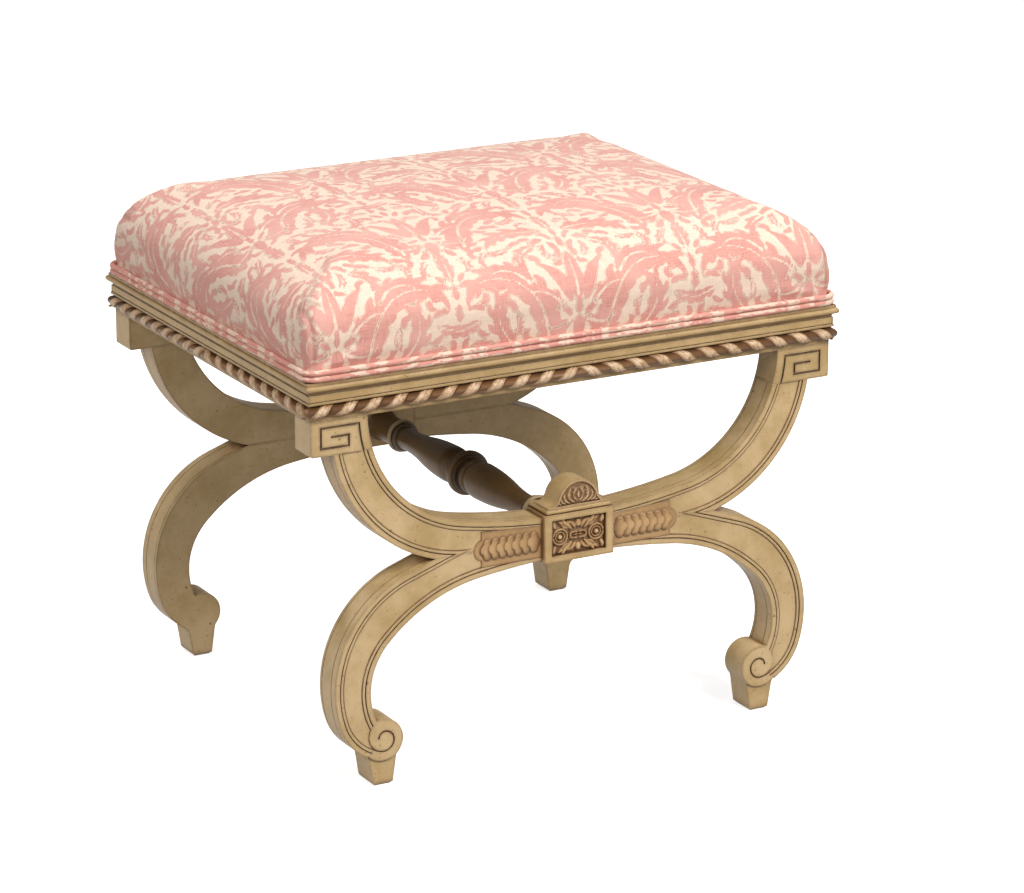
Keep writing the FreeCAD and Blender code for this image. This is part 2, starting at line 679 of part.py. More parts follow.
def leg_relief(body, name, offset, inset, relief, over):
    """The carved field of a leg, drawn in by inset; the tail winds into the volute as a spiral groove."""
    rim = Outline.value(inset)
    curve = leg_curves(rim)
    joint = size("joint_height") + over
    outline = Outline(body, name, "XZ_Plane", offset)
    groove = size("volute_groove_width")
    step = size("volute_step")
    disc_radius = size("volute_disc_radius")
    # The groove's outer wall winds in by quarter turns, each tighter by one step.
    turn = size("volute_turn_radius") - Outline.value(INNER_GROOVE_EDGE)
    turn_centre = (size("volute_centre_x"), size("volute_turn_centre_z"))
    low = (turn_centre[0], turn_centre[1] - turn)
    radii = [turn - step, turn - 2 * step, turn - 3 * step]
    first = (low[0], low[1] + radii[0])
    second = (first[0] - radii[0] + radii[1], first[1])
    third = (second[0], second[1] + radii[1] - radii[2])
    centres = [first, second, third]
    # The disc's outer edge carries on from the groove's inner wall.
    disc = (low[0], low[1] + groove + disc_radius)
    rise = (disc[0] - size("volute_disc_growth"), disc[1])
    rise_radius = disc_radius + size("volute_disc_growth")
    edges = {}
    side = size("tablet_half_width") - over
    crotch = shoulder_foot(rim, joint)
    edges["joint"] = outline.line((side, joint), crotch)
    outline.line(crotch, curve["shoulder"])
    edges["outer"] = outline.arc(curve["outer"], curve["outer_radius"], curve["shoulder"], curve["calf"], -1,
                                 tangent=True)
    heel = curve["heel"]
    if relief == "tail":
        touch = along(heel, unit(heel, turn_centre), curve["heel_radius"])
        edges["heel"] = outline.arc(heel, curve["heel_radius"], curve["calf"], touch, -1, tangent=True)
        outline.arc(turn_centre, turn, touch, low, -1)
        walls = [low, (first[0] - radii[0], first[1]), (second[0], second[1] + radii[1]),
                 (third[0] + radii[2], third[1])]
        for place in range(3):
            outline.arc(centres[place], radii[place], walls[place], walls[place + 1], -1, tangent=True)
        inner_walls = [(low[0], low[1] + groove), (walls[1][0] + groove, walls[1][1]),
                       (walls[2][0], walls[2][1] - groove), (walls[3][0] - groove, walls[3][1])]
        outline.line(walls[3], inner_walls[3])
        for place in (2, 1, 0):
            outline.arc(centres[place], radii[place] - groove, inner_walls[place + 1], inner_walls[place], 1,
                        tangent=place < 2)
        start = inner_walls[0]
    else:
        stop = turn_centre[0] + size("bead_stop")
        end = (stop, heel[1] - math.sqrt(curve["heel_radius"] ** 2 - (stop - heel[0]) ** 2))
        edges["heel"] = outline.arc(heel, curve["heel_radius"], curve["calf"], end, -1, tangent=True)
        start = (stop, disc[1] - math.sqrt(disc_radius ** 2 - (stop - disc[0]) ** 2))
        outline.line(end, start)
    outline.arc(disc, disc_radius, start, (disc[0] + disc_radius, disc[1]), 1, tangent=relief == "tail")
    edges["ankle"] = meeting(rise, rise_radius, curve["inner"], curve["inner_radius"], -1)
    outline.arc(rise, rise_radius, (rise[0] + rise_radius, rise[1]), edges["ankle"], 1, tangent=True)
    return finish_leg(outline, curve, inset, over, edges)


def dress(body, kind, name, test, alias):
    """Fillet or chamfer the edges that pass the test, by a size of the sheet."""
    doc.recompute()
    base = body.Tip
    names = ["Edge" + str(number) for number, edge in enumerate(base.Shape.Edges, start=1) if test(edge)]
    feature = body.newObject("PartDesign::" + kind, name)
    feature.Base = (base, names)
    feature.setExpression("Radius" if kind == "Fillet" else "Size", "sizes." + alias)
    return feature


def drill(body, name, role, plane, across, up, radius, depth, forward):
    """A blind round hole from a plane; forward cuts along the plane's own direction."""
    outline = Outline(body, name + "_circle", role, plane)
    hole = extrude(body, "Pocket", name, outline.ring(across, up, radius), depth)
    hole.Reversed = forward
    return hole


def mirrored(label, source, normal):
    """A piece's twin on the other side of the stool."""
    twin = doc.addObject("Part::Mirroring", label + "_mirror")
    twin.Source = source
    twin.Normal = FreeCAD.Vector(*normal)
    return keep(label, twin)


LEFT_TO_RIGHT = (1, 0, 0)
FRONT_TO_BACK = (0, 1, 0)


def four_corners(name, feature):
    """The front right piece and its twins at the other three corners."""
    keep(name + "_front_right", feature)
    left = mirrored(name + "_front_left", feature, LEFT_TO_RIGHT)
    mirrored(name + "_back_right", feature, FRONT_TO_BACK)
    mirrored(name + "_back_left", left, FRONT_TO_BACK)


def front_and_back(name, feature):
    keep(name + "_front", feature)
    mirrored(name + "_back", feature, FRONT_TO_BACK)


def right_and_left(name, feature):
    keep(name + "_right", feature)
    mirrored(name + "_left", feature, LEFT_TO_RIGHT)


DOWEL_BORE = "sizes.dowel_radius + sizes.dowel_clearance"
DOWEL_DEPTH = "sizes.dowel_length / 2 + sizes.dowel_hole_spare"
WAIST_DOWELS = {"first": "sizes.waist_dowel_first", "second": "sizes.waist_dowel_second"}
ARM_DOWELS = {"first": "(sizes.arm_inner_reach + sizes.arm_dowel_first_inset)",
              "second": "(sizes.arm_inner_reach + sizes.arm_dowel_second_inset)"}
RAIL_DOWELS = {"first": "(sizes.seat_half_length - sizes.rail_dowel_first_inset)",
               "second": "(sizes.seat_half_length - sizes.rail_dowel_second_inset)"}
SIDE_DOWELS = {"arm": "(sizes.joint_height + sizes.arm_side_dowel_rise)",
               "leg": "(sizes.joint_height - sizes.leg_side_dowel_drop)"}
MID_PLANE = "-sizes.seat_half_depth + sizes.frame_thickness / 2"


def panel_path(body, name, plane, gap):
    """Outline of a scale panel with its round tongue, drawn out by gap and open-ended at the tablet."""
    outline = Outline(body, name, "XZ_Plane", plane)
    chord = "sqrt(sizes.tongue_radius ^ 2 - (sizes.tongue_radius - sizes.tongue_reach) ^ 2)"
    start = "sizes.tablet_half_width + sizes.carving_clearance - 3 * (" + gap + ")"
    end = "sizes.panel_end + " + gap
    points = [
        (start, "sizes.joint_height - sizes.panel_drop - " + gap),
        (end, "sizes.joint_height - sizes.panel_drop - " + gap),
        (end, "sizes.joint_height - " + chord),
        (end, "sizes.joint_height + " + chord),
        (end, "sizes.joint_height + sizes.panel_end_rise + " + gap),
        (start, "sizes.joint_height + sizes.panel_side_rise + " + gap),
    ]
    return outline.path(points, {2: ("sizes.tongue_radius + " + gap, 1)})


def panel_seat(body, name):
    sketch = panel_path(body, name + "_panel_seat_outline", FRONT_PLANE, "sizes.carving_clearance")
    extrude(body, "Pocket", name + "_panel_seat", sketch, "sizes.panel_seat_depth")


# Arms: solid wood, bored for dowels at the waist, the centre block and the key block.
arm = layered_body("arm", arm_outline)
carve_relief(arm, "arm", arm_outline)
panel_seat(arm, "arm")
for place in ("first", "second"):
    drill(arm, "arm_waist_hole_" + place, "XY_Plane", "sizes.joint_height",
          WAIST_DOWELS[place], MID_PLANE, DOWEL_BORE, DOWEL_DEPTH, True)
    drill(arm, "arm_top_hole_" + place, "XY_Plane", BLOCK_BOTTOM,
          ARM_DOWELS[place], MID_PLANE, DOWEL_BORE, DOWEL_DEPTH, False)
drill(arm, "arm_side_hole", "YZ_Plane", "sizes.tablet_half_width",
      MID_PLANE, SIDE_DOWELS["arm"], DOWEL_BORE, DOWEL_DEPTH, True)
four_corners("arm", arm)

# Legs: the same section, ending in a scroll over a tapered peg with a chamfered sole.
leg = layered_body("leg", leg_outline)
carve_relief(leg, "leg", leg_relief)
panel_seat(leg, "leg")
for place in ("first", "second"):
    drill(leg, "leg_waist_hole_" + place, "XY_Plane", "sizes.joint_height",
          WAIST_DOWELS[place], MID_PLANE, DOWEL_BORE, DOWEL_DEPTH, False)
drill(leg, "leg_side_hole", "YZ_Plane", "sizes.tablet_half_width",
      MID_PLANE, SIDE_DOWELS["leg"], DOWEL_BORE, DOWEL_DEPTH, True)
peg_face = Outline(leg, "peg_face_outline", "XZ_Plane", FRONT_PLANE)
peg_reach = "(sizes.foot_top_width / 2 + sizes.foot_chamfer)"
peg_top = "sizes.volute_turn_centre_z - sqrt(sizes.volute_turn_radius ^ 2 - " + peg_reach + " ^ 2)"
sketch = peg_face.path([
    ("sizes.foot_centre_x - " + peg_reach, peg_top),
    ("sizes.foot_centre_x + " + peg_reach, peg_top),
    ("sizes.foot_centre_x + " + peg_reach, "-sizes.foot_chamfer"),
    ("sizes.foot_centre_x - " + peg_reach, "-sizes.foot_chamfer"),
], {0: ("sizes.volute_turn_radius", 1)})
extrude(leg, "Pocket", "peg_face", sketch, "sizes.foot_setback")
sole_edges = Outline(leg, "sole_chamfer_outline", "YZ_Plane")
peg_front = "-sizes.seat_half_depth + sizes.foot_setback"
peg_back = "-sizes.seat_half_depth + sizes.frame_thickness"
for edge, inward in ((peg_front, " + "), (peg_back, " - ")):
    sole_edges.path([(edge, "0"), (edge + inward + "sizes.foot_chamfer", "0"), (edge, "sizes.foot_chamfer")])
chamfer = extrude(leg, "Pocket", "sole_chamfer", sole_edges.sketch, "sizes.leg_outer_reach")
chamfer.Reversed = True
four_corners("leg", leg)


# Key blocks: square blocks between arms and rails with a Greek key cut in the face.
ARM_INNER_X = "(sizes.arm_inner_reach - sizes.arm_inner_radius)"
ARM_INNER_Z = ("(" + WAIST_TOP + " + sizes.saddle_radius - sqrt((sizes.saddle_radius - sizes.arm_inner_radius) ^ 2"
               " - " + ARM_INNER_X + " ^ 2))")


def inner_arc_x(radius, height):
    """Where an arc about the centre of the arms' inner curve stands at this height."""
    return ARM_INNER_X + " + sqrt((" + radius + ") ^ 2 - (" + height + " - " + ARM_INNER_Z + ") ^ 2)"


key_block = doc.addObject("PartDesign::Body", "key_block")
outline = Outline(key_block, "key_block_outline", "XZ_Plane", BACK_PLANE)
block_points = [
    (inner_arc_x("sizes.arm_inner_radius", BLOCK_BOTTOM), BLOCK_BOTTOM),
    ("sizes.seat_half_length - sizes.block_corner_radius", BLOCK_BOTTOM),
    ("sizes.seat_half_length", BLOCK_BOTTOM + " + sizes.block_corner_radius"),
    ("sizes.seat_half_length", RAIL_BOTTOM),
    (inner_arc_x("sizes.arm_inner_radius", RAIL_BOTTOM), RAIL_BOTTOM),
]
sketch = outline.path(block_points, {1: ("sizes.block_corner_radius", 1), 4: ("sizes.arm_inner_radius", -1)})
extrude(key_block, "Pad", "key_block_pad", sketch, "sizes.frame_thickness")

key_half = "sizes.key_line_width / 2"
key_start = BLOCK_BOTTOM + " - " + key_half
key_top = RAIL_BOTTOM + " - sizes.key_margin_top"
key_right = "sizes.seat_half_length - sizes.key_margin_outer"
key_low = BLOCK_BOTTOM + " + sizes.key_margin_bottom"
key_left = "sizes.arm_inner_reach + sizes.key_margin_inner + sizes.key_pitch_across"
key_middle = key_top + " - sizes.key_pitch_up"
key_end = key_right + " - sizes.key_pitch_across"
near_radius = "sizes.arm_inner_radius + sizes.key_margin_inner - " + key_half
far_radius = "sizes.arm_inner_radius + sizes.key_margin_inner + " + key_half
outline = Outline(key_block, "greek_key_outline", "XZ_Plane", FRONT_PLANE)
key_points = [
    (inner_arc_x(near_radius, key_start), key_start),
    (inner_arc_x(near_radius, key_top + " + " + key_half), key_top + " + " + key_half),
    (key_right + " + " + key_half, key_top + " + " + key_half),
    (key_right + " + " + key_half, key_low + " - " + key_half),
    (key_left + " - " + key_half, key_low + " - " + key_half),
    (key_left + " - " + key_half, key_middle + " + " + key_half),
    (key_end, key_middle + " + " + key_half),
    (key_end, key_middle + " - " + key_half),
    (key_left + " + " + key_half, key_middle + " - " + key_half),
    (key_left + " + " + key_half, key_low + " + " + key_half),
    (key_right + " - " + key_half, key_low + " + " + key_half),
    (key_right + " - " + key_half, key_top + " - " + key_half),
    (inner_arc_x(far_radius, key_top + " - " + key_half), key_top + " - " + key_half),
    (inner_arc_x(far_radius, key_start), key_start),
]
sketch = outline.path(key_points, {0: (near_radius, 1), 12: (far_radius, -1)})
extrude(key_block, "Pocket", "greek_key", sketch, "sizes.key_line_depth")
for place in ("first", "second"):
    drill(key_block, "block_top_hole_" + place, "XY_Plane", RAIL_BOTTOM,
          RAIL_DOWELS[place], MID_PLANE, DOWEL_BORE, DOWEL_DEPTH, False)
    drill(key_block, "block_bottom_hole_" + place, "XY_Plane", BLOCK_BOTTOM,
          ARM_DOWELS[place], MID_PLANE, DOWEL_BORE, DOWEL_DEPTH, True)
four_corners("key_block", key_block)


def rectangle(body, name, role, plane, left, right, bottom, top):
    """A rectangle between four expressions."""
    outline = Outline(body, name, role, plane)
    return outline.path([(left, bottom), (right, bottom), (right, top), (left, top)])


# Centre blocks: each joins two arms and two legs and takes one end of the stretcher.
centre_block = doc.addObject("PartDesign::Body", "centre_block")
sketch = rectangle(centre_block, "centre_block_outline", "XZ_Plane", BACK_PLANE,
                   "-sizes.tablet_half_width", "sizes.tablet_half_width", TABLET_BOTTOM, TABLET_TOP)
extrude(centre_block, "Pad", "centre_block_pad", sketch, "sizes.frame_thickness + sizes.tablet_proud")
recess_half_width = "sizes.tablet_half_width - sizes.tablet_side_border"
recess_bottom = TABLET_BOTTOM + " + sizes.tablet_level_border"
recess_top = TABLET_TOP + " - sizes.tablet_level_border"
sketch = rectangle(centre_block, "tablet_recess_outline", "XZ_Plane", FRONT_PLANE + " + sizes.tablet_proud",
                   "-(" + recess_half_width + ")", recess_half_width, recess_bottom, recess_top)
extrude(centre_block, "Pocket", "tablet_recess", sketch, "sizes.tablet_recess")
drill(centre_block, "stretcher_mortise", "XZ_Plane", BACK_PLANE, "0", "sizes.joint_height",
      "sizes.tenon_radius + sizes.tenon_clearance", "sizes.tenon_length + sizes.dowel_hole_spare", True)
for member in ("arm", "leg"):
    height = SIDE_DOWELS[member]
    drill(centre_block, member + "_right_hole", "YZ_Plane", "sizes.tablet_half_width",
          MID_PLANE, height, DOWEL_BORE, DOWEL_DEPTH, False)
    drill(centre_block, member + "_left_hole", "YZ_Plane", "-sizes.tablet_half_width",
          MID_PLANE, height, DOWEL_BORE, DOWEL_DEPTH, True)
front_and_back("centre_block", centre_block)

# Crests: a half-round cap moulding on each centre block, carved in one with the crest, a dome that sweeps out to
# the ends of the cap.
crest = doc.addObject("PartDesign::Body", "crest")
cap_front = "-(sizes.seat_half_depth + sizes.tablet_proud - sizes.cap_setback)"
cap_back = "-(" + BACK_PLANE + ")"
sketch = rectangle(crest, "cap_outline", "XY_Plane", TABLET_TOP,
                   "-sizes.cap_half_width", "sizes.cap_half_width", cap_front, cap_back)
extrude(crest, "Pad", "cap", sketch, "sizes.cap_height")
cap_front_y = Outline.value(cap_front)


def cap_level_edge(edge):
    """True for the top and bottom edges of the cap along its front and its two ends."""
    box = edge.BoundBox
    along_back = box.YLength < 0.01 and box.YMin > cap_front_y + 1
    return box.ZLength < 0.01 and not along_back


dress(crest, "Fillet", "cap_edge_round", cap_level_edge, "cap_round")
flare_height = TABLET_TOP + " + sizes.cap_height + sizes.crest_foot_height"
flare_rise = "(" + flare_height + " + sizes.crest_flare_radius - " + DOME_CENTRE + ")"
flare_x = "sqrt((sizes.crest_dome_radius + sizes.crest_flare_radius) ^ 2 - " + flare_rise + " ^ 2)"
dome_share = "sizes.crest_dome_radius / (sizes.crest_dome_radius + sizes.crest_flare_radius)"
touch_x = flare_x + " * " + dome_share
touch_z = DOME_CENTRE + " + " + flare_rise + " * " + dome_share
crest_plane = FRONT_PLANE + " + sizes.tablet_proud - sizes.crest_setback"
outline = Outline(crest, "crest_outline", "XZ_Plane", crest_plane + " - sizes.crest_depth")
cap_top = TABLET_TOP + " + sizes.cap_height"
sketch = outline.path([
    ("-sizes.crest_half_width", cap_top),
    ("sizes.crest_half_width", cap_top),
    ("sizes.crest_half_width", flare_height),
    (flare_x, flare_height),
    (touch_x, touch_z),
    ("-" + touch_x, touch_z),
    ("-" + flare_x, flare_height),
    ("-sizes.crest_half_width", flare_height),
], {3: ("sizes.crest_flare_radius", -1), 4: ("sizes.crest_dome_radius", 1),
    5: ("sizes.crest_flare_radius", -1)})
extrude(crest, "Pad", "crest_pad", sketch, "sizes.crest_depth")
field_bottom = cap_top + " + sizes.crest_field_rise"
field_radius = "sizes.crest_dome_radius - sizes.crest_rim"
field_sweep = "sizes.crest_flare_radius + sizes.crest_rim"
sweep_rise = "(" + flare_height + " + sizes.crest_flare_radius - (" + field_bottom + "))"
field_half = "(" + flare_x + " - sqrt((" + field_sweep + ") ^ 2 - " + sweep_rise + " ^ 2))"
field_share = "(" + field_radius + ") / (sizes.crest_dome_radius + sizes.crest_flare_radius)"
field_touch_x = flare_x + " * " + field_share
field_touch_z = DOME_CENTRE + " + " + flare_rise + " * " + field_share
outline = Outline(crest, "crest_field_outline", "XZ_Plane", crest_plane)
sketch = outline.path([
    ("-" + field_half, field_bottom),
    (field_half, field_bottom),
    (field_touch_x, field_touch_z),
    ("-" + field_touch_x, field_touch_z),
], {1: (field_sweep, -1), 2: (field_radius, 1), 3: (field_sweep, -1)})
extrude(crest, "Pocket", "crest_field", sketch, "sizes.crest_rim_depth")
front_and_back("crest", crest)

# Rosettes: a thin carved plate glued into each tablet; two round eyes, four leaves and a bar.
rosette = doc.addObject("PartDesign::Body", "rosette")
plate_plane = FRONT_PLANE + " + sizes.tablet_proud - sizes.tablet_recess"
relief_plane = plate_plane + " + sizes.rosette_plate"
plate_half_width = recess_half_width + " - sizes.carving_clearance"
sketch = rectangle(rosette, "rosette_plate_outline", "XZ_Plane", plate_plane,
                   "-(" + plate_half_width + ")", plate_half_width,
                   recess_bottom + " + sizes.carving_clearance", recess_top + " - sizes.carving_clearance")
extrude(rosette, "Pad", "rosette_plate", sketch, "sizes.rosette_plate")
sketch = rectangle(rosette, "rosette_bar_outline", "XZ_Plane", relief_plane,
                   "-sizes.rosette_bar_half_width", "sizes.rosette_bar_half_width",
                   ROSETTE_CENTRE + " - sizes.rosette_bar_half_height",
                   ROSETTE_CENTRE + " + sizes.rosette_bar_half_height")
extrude(rosette, "Pad", "rosette_bar", sketch, "sizes.rosette_relief")
for side, sign in (("right", ""), ("left", "-")):
    outline = Outline(rosette, "rosette_eye_outline_" + side, "XZ_Plane", relief_plane)
    sketch = outline.ring(sign + "sizes.rosette_eye_spacing", ROSETTE_CENTRE, "sizes.rosette_eye_radius")
    extrude(rosette, "Pad", "rosette_eye_" + side, sketch, "sizes.rosette_relief")
    for level, way in (("upper", "+"), ("lower", "-")):
        outline = Outline(rosette, "rosette_leaf_outline_" + side + "_" + level, "XZ_Plane", relief_plane)
        sketch = outline.ring(sign + "sizes.rosette_leaf_spacing",
                              ROSETTE_CENTRE + " " + way + " sizes.rosette_leaf_spacing",
                              "sizes.rosette_leaf_radius")
        extrude(rosette, "Pad", "rosette_leaf_" + side + "_" + level, sketch, "sizes.rosette_relief")
front_and_back("rosette", rosette)

# Scale panels: thin plates with a run of overlapping scales, glued over the joint of arm and leg.
scale_panel = doc.addObject("PartDesign::Body", "scale_panel")
panel_plane = FRONT_PLANE + " - sizes.panel_seat_depth"
sketch = panel_path(scale_panel, "scale_panel_outline", panel_plane, "0")
extrude(scale_panel, "Pad", "scale_panel_pad", sketch, "sizes.panel_thickness")
for number in range(int(size("scale_count"))):
    outline = Outline(scale_panel, "scale_outline_" + str(number), "XZ_Plane",
                      panel_plane + " + sizes.panel_thickness")
    sketch = outline.ring("sizes.scale_first + " + str(number) + " * sizes.scale_pitch",
                          "sizes.joint_height", "sizes.scale_radius")
    extrude(scale_panel, "Pad", "scale_" + str(number), sketch, "sizes.scale_relief")
four_corners("scale_panel", scale_panel)

# Stretcher: one turned piece between the two centre blocks, its tenons glued into their mortises.
swell_length = "(sizes.bulb_turn_place - sizes.bulb_place)"
hollow_length = "(" + NECK_PLACE + " - sizes.bulb_turn_place)"
taper = "((sizes.bulb_radius - sizes.neck_radius) / (" + NECK_PLACE + " - sizes.bulb_place))"
swell_fall = "(" + swell_length + " * " + taper + ")"
hollow_fall = "(" + hollow_length + " * " + taper + ")"
swell_radius = "(" + swell_length + " ^ 2 + " + swell_fall + " ^ 2) / (2 * " + swell_fall + ")"
hollow_radius = "(" + hollow_length + " ^ 2 + " + hollow_fall + " ^ 2) / (2 * " + hollow_fall + ")"
bulb_start_radius = ("sizes.bulb_radius - sizes.bulb_round_radius + sqrt(sizes.bulb_round_radius ^ 2"
                     " - (sizes.bulb_place - sizes.bulb_start) ^ 2)")
ring_base = ("sizes.collar_ring_radius - sizes.collar_ring_round + sqrt(sizes.collar_ring_round ^ 2"
             " - (sizes.collar_ring_width / 2) ^ 2)")
step_end = "sizes.disc_half_width + sizes.disc_step_width"
bead_end = "sizes.centre_cove_end + sizes.centre_bead_width"
ring_end = COLLAR_RING_PLACE + " + sizes.collar_ring_width"
neck_bead_end = NECK_BEAD_PLACE + " + sizes.neck_bead_width"
# Distance from the middle, radius there, then the radius and turn of the edge that follows.
stretcher_steps = [
    ("sizes.disc_half_width - sizes.disc_round", "sizes.disc_radius", "sizes.disc_round", -1),
    ("sizes.disc_half_width", "sizes.disc_radius - sizes.disc_round", None, 0),
    ("sizes.disc_half_width", "sizes.disc_step_radius", None, 0),
    (step_end, "sizes.disc_step_radius", None, 0),
    (step_end, "sizes.waist_radius", "sizes.centre_cove_radius", 1),
    ("sizes.centre_cove_end", "sizes.waist_radius", "sizes.centre_bead_radius", -1),
    (bead_end, "sizes.waist_radius", None, 0),
    ("sizes.bulb_start", bulb_start_radius, "sizes.bulb_round_radius", -1),
    ("sizes.bulb_place", "sizes.bulb_radius", swell_radius, -1),
    ("sizes.bulb_turn_place", "sizes.bulb_radius - " + swell_fall, hollow_radius, 1),
    (NECK_PLACE, "sizes.neck_radius", None, 0),
    (NECK_BEAD_PLACE, "sizes.neck_end_radius", None, 0),
    (NECK_BEAD_PLACE, "sizes.collar_radius", "sizes.neck_bead_radius", -1),
    (neck_bead_end, "sizes.collar_radius", None, 0),
    (COLLAR_RING_PLACE, "sizes.collar_radius", None, 0),
    (COLLAR_RING_PLACE, ring_base, "sizes.collar_ring_round", -1),
    (ring_end, ring_base, None, 0),
    (ring_end, "sizes.collar_radius", None, 0),
    (SHOULDER + " - sizes.collar_foot_width", "sizes.collar_radius", "sizes.collar_foot_round", 1),
    (SHOULDER, "sizes.collar_foot_radius", None, 0),
    (SHOULDER, "sizes.tenon_radius", None, 0),
    (SHOULDER + " + sizes.tenon_length", "sizes.tenon_radius", None, 0),
    (SHOULDER + " + sizes.tenon_length", "0", None, 0),
]
stretcher = doc.addObject("PartDesign::Body", "stretcher")
outline = Outline(stretcher, "stretcher_outline", "YZ_Plane")
outline.sketch.setExpression(".AttachmentOffset.Base.y", "sizes.joint_height")
run = []
for place, radius, edge_radius, turn in stretcher_steps:
    run.append((place, radius))
for place, radius, edge_radius, turn in reversed(stretcher_steps):
    run.append(("-(" + place + ")", radius))
run_arcs = {}
for number, (place, radius, edge_radius, turn) in enumerate(stretcher_steps):
    if turn:
        run_arcs[number] = (edge_radius, turn)
        run_arcs[2 * len(stretcher_steps) - 2 - number] = (edge_radius, turn)
sketch = outline.path(run, run_arcs)
turning = stretcher.newObject("PartDesign::Revolution", "turning")
turning.Profile = sketch
turning.ReferenceAxis = (sketch, ["H_Axis"])
turning.Angle = 360
keep("stretcher", stretcher)


# Seat rails: moulded rails mitred at the corners, and the ribbon moulding planted on their faces.
bead_half = ("sqrt(sizes.rail_bead_radius ^ 2 - (sizes.rail_bead_start - sizes.rail_bead_reach"
             " + sizes.rail_bead_radius) ^ 2)")
rail_points = [
    ("0", RAIL_BOTTOM),
    ("0", RAIL_STEP_BOTTOM),
    ("sizes.rail_step_reach", RAIL_STEP_BOTTOM),
    ("sizes.rail_step_reach", RAIL_STEP_TOP),
    ("sizes.rail_band_reach - sizes.rail_quirk", RAIL_STEP_TOP),
    ("sizes.rail_band_reach - sizes.rail_quirk", RAIL_STEP_TOP + " + sizes.rail_quirk"),
    ("sizes.rail_band_reach", RAIL_STEP_TOP + " + sizes.rail_quirk"),
    ("sizes.rail_band_reach", RAIL_BAND_TOP),
    ("sizes.rail_cove_reach", RAIL_BAND_TOP),
    ("sizes.rail_bead_start", BEAD_CENTRE + " - " + bead_half),
    ("sizes.rail_bead_start", BEAD_CENTRE + " + " + bead_half),
    ("sizes.rail_cap_reach", BEAD_CENTRE + " + sizes.rail_bead_radius"),
    ("sizes.rail_cap_reach", RAIL_TOP),
    ("-sizes.rail_thickness", RAIL_TOP),
    ("-sizes.rail_thickness", RAIL_BOTTOM),
]
rail_arcs = {8: ("sizes.rail_cove_radius", -1), 9: ("sizes.rail_bead_radius", 1)}
ribbon_reach = "sizes.ribbon_reach"
ribbon_flat = "sizes.ribbon_reach - sizes.ribbon_radius"
ribbon_points = [
    ("0", RIBBON_CENTRE + " - sizes.ribbon_radius"),
    (ribbon_flat, RIBBON_CENTRE + " - sizes.ribbon_radius"),
    (ribbon_reach, RIBBON_CENTRE),
    (ribbon_flat, RIBBON_CENTRE + " + sizes.ribbon_radius"),
    ("0", RIBBON_CENTRE + " + sizes.ribbon_radius"),
]
ribbon_arcs = {1: ("sizes.ribbon_radius", 1), 2: ("sizes.ribbon_radius", 1)}


def moulding(name, points, arcs, long_half, wide_half, role):
    """A length of moulding along the edge at wide_half, mitred at 45 degrees where it meets its neighbours.

    On the YZ plane it makes the front piece, on the XZ plane the right one.
    """
    body = doc.addObject("PartDesign::Body", name)
    front = role == "YZ_Plane"
    reach = "(" + long_half + " + sizes.mitre_margin)"
    outline = Outline(body, name + "_profile", role, "-" + reach)
    sign, turn = ("-", -1) if front else ("", 1)
    placed = [(sign + "(" + wide_half + " + " + out + ")", up) for out, up in points]
    turned = {number: (radius, turn * way) for number, (radius, way) in arcs.items()}
    extrude(body, "Pad", name + "_pad", outline.path(placed, turned), "2 * " + reach)
    inner = "(sizes.rail_thickness + sizes.mitre_margin)"
    outline = Outline(body, name + "_mitre_outline", "XY_Plane", RAIL_TOP + " + 1")
    for end in ("", "-"):
        near_long = end + "(" + long_half + " - " + inner + ")"
        far_long = end + reach
        near_wide = "(" + wide_half + " - " + inner + ")"
        far_wide = "(" + wide_half + " + sizes.mitre_margin)"
        if front:
            corners = [(near_long, "-" + near_wide), (far_long, "-" + far_wide), (far_long, "-" + near_wide)]
        else:
            corners = [(near_wide, near_long), (far_wide, far_long), (near_wide, far_long)]
        outline.path(corners)
    extrude(body, "Pocket", name + "_mitre", outline.sketch, RAIL_TOP)
    return body


rail_front = moulding("rail_front", rail_points, rail_arcs, "sizes.seat_half_length", "sizes.seat_half_depth",
                      "YZ_Plane")
for side, sign in (("right", ""), ("left", "-")):
    for place in ("first", "second"):
        drill(rail_front, "rail_hole_" + side + "_" + place, "XY_Plane", RAIL_BOTTOM,
              sign + RAIL_DOWELS[place], MID_PLANE, DOWEL_BORE, DOWEL_DEPTH, True)
front_and_back("rail", rail_front)
rail_right = moulding("rail_right", rail_points, rail_arcs, "sizes.seat_half_depth", "sizes.seat_half_length",
                      "XZ_Plane")
right_and_left("rail", rail_right)
ribbon_front = moulding("ribbon_front", ribbon_points, ribbon_arcs, "sizes.seat_half_length",
                        "sizes.seat_half_depth", "YZ_Plane")
front_and_back("ribbon", ribbon_front)
ribbon_right = moulding("ribbon_right", ribbon_points, ribbon_arcs, "sizes.seat_half_depth",
                        "sizes.seat_half_length", "XZ_Plane")
right_and_left("ribbon", ribbon_right)

# Corner blocks: triangles glued inside the rail corners, bored for the screws that hold the deck.
corner_block = doc.addObject("PartDesign::Body", "corner_block")
inner_length = "(sizes.seat_half_length - sizes.rail_thickness)"
inner_depth = "(sizes.seat_half_depth - sizes.rail_thickness)"
outline = Outline(corner_block, "corner_block_outline", "XY_Plane", CORNER_BLOCK_BOTTOM)
sketch = outline.path([
    (inner_length, "-" + inner_depth),
    (inner_length, "-" + inner_depth + " + sizes.corner_block_leg"),
    (inner_length + " - sizes.corner_block_leg", "-" + inner_depth),
])
extrude(corner_block, "Pad", "corner_block_pad", sketch, RAIL_TOP + " - " + CORNER_BLOCK_BOTTOM)
screw_x = inner_length + " - sizes.screw_inset"
screw_y = inner_depth + " - sizes.screw_inset"
SCREW_BORE = "sizes.screw_radius + sizes.screw_clearance"
drill(corner_block, "screw_hole", "XY_Plane", CORNER_BLOCK_BOTTOM, screw_x, "-(" + screw_y + ")",
      SCREW_BORE, RAIL_TOP + " - " + CORNER_BLOCK_BOTTOM, True)
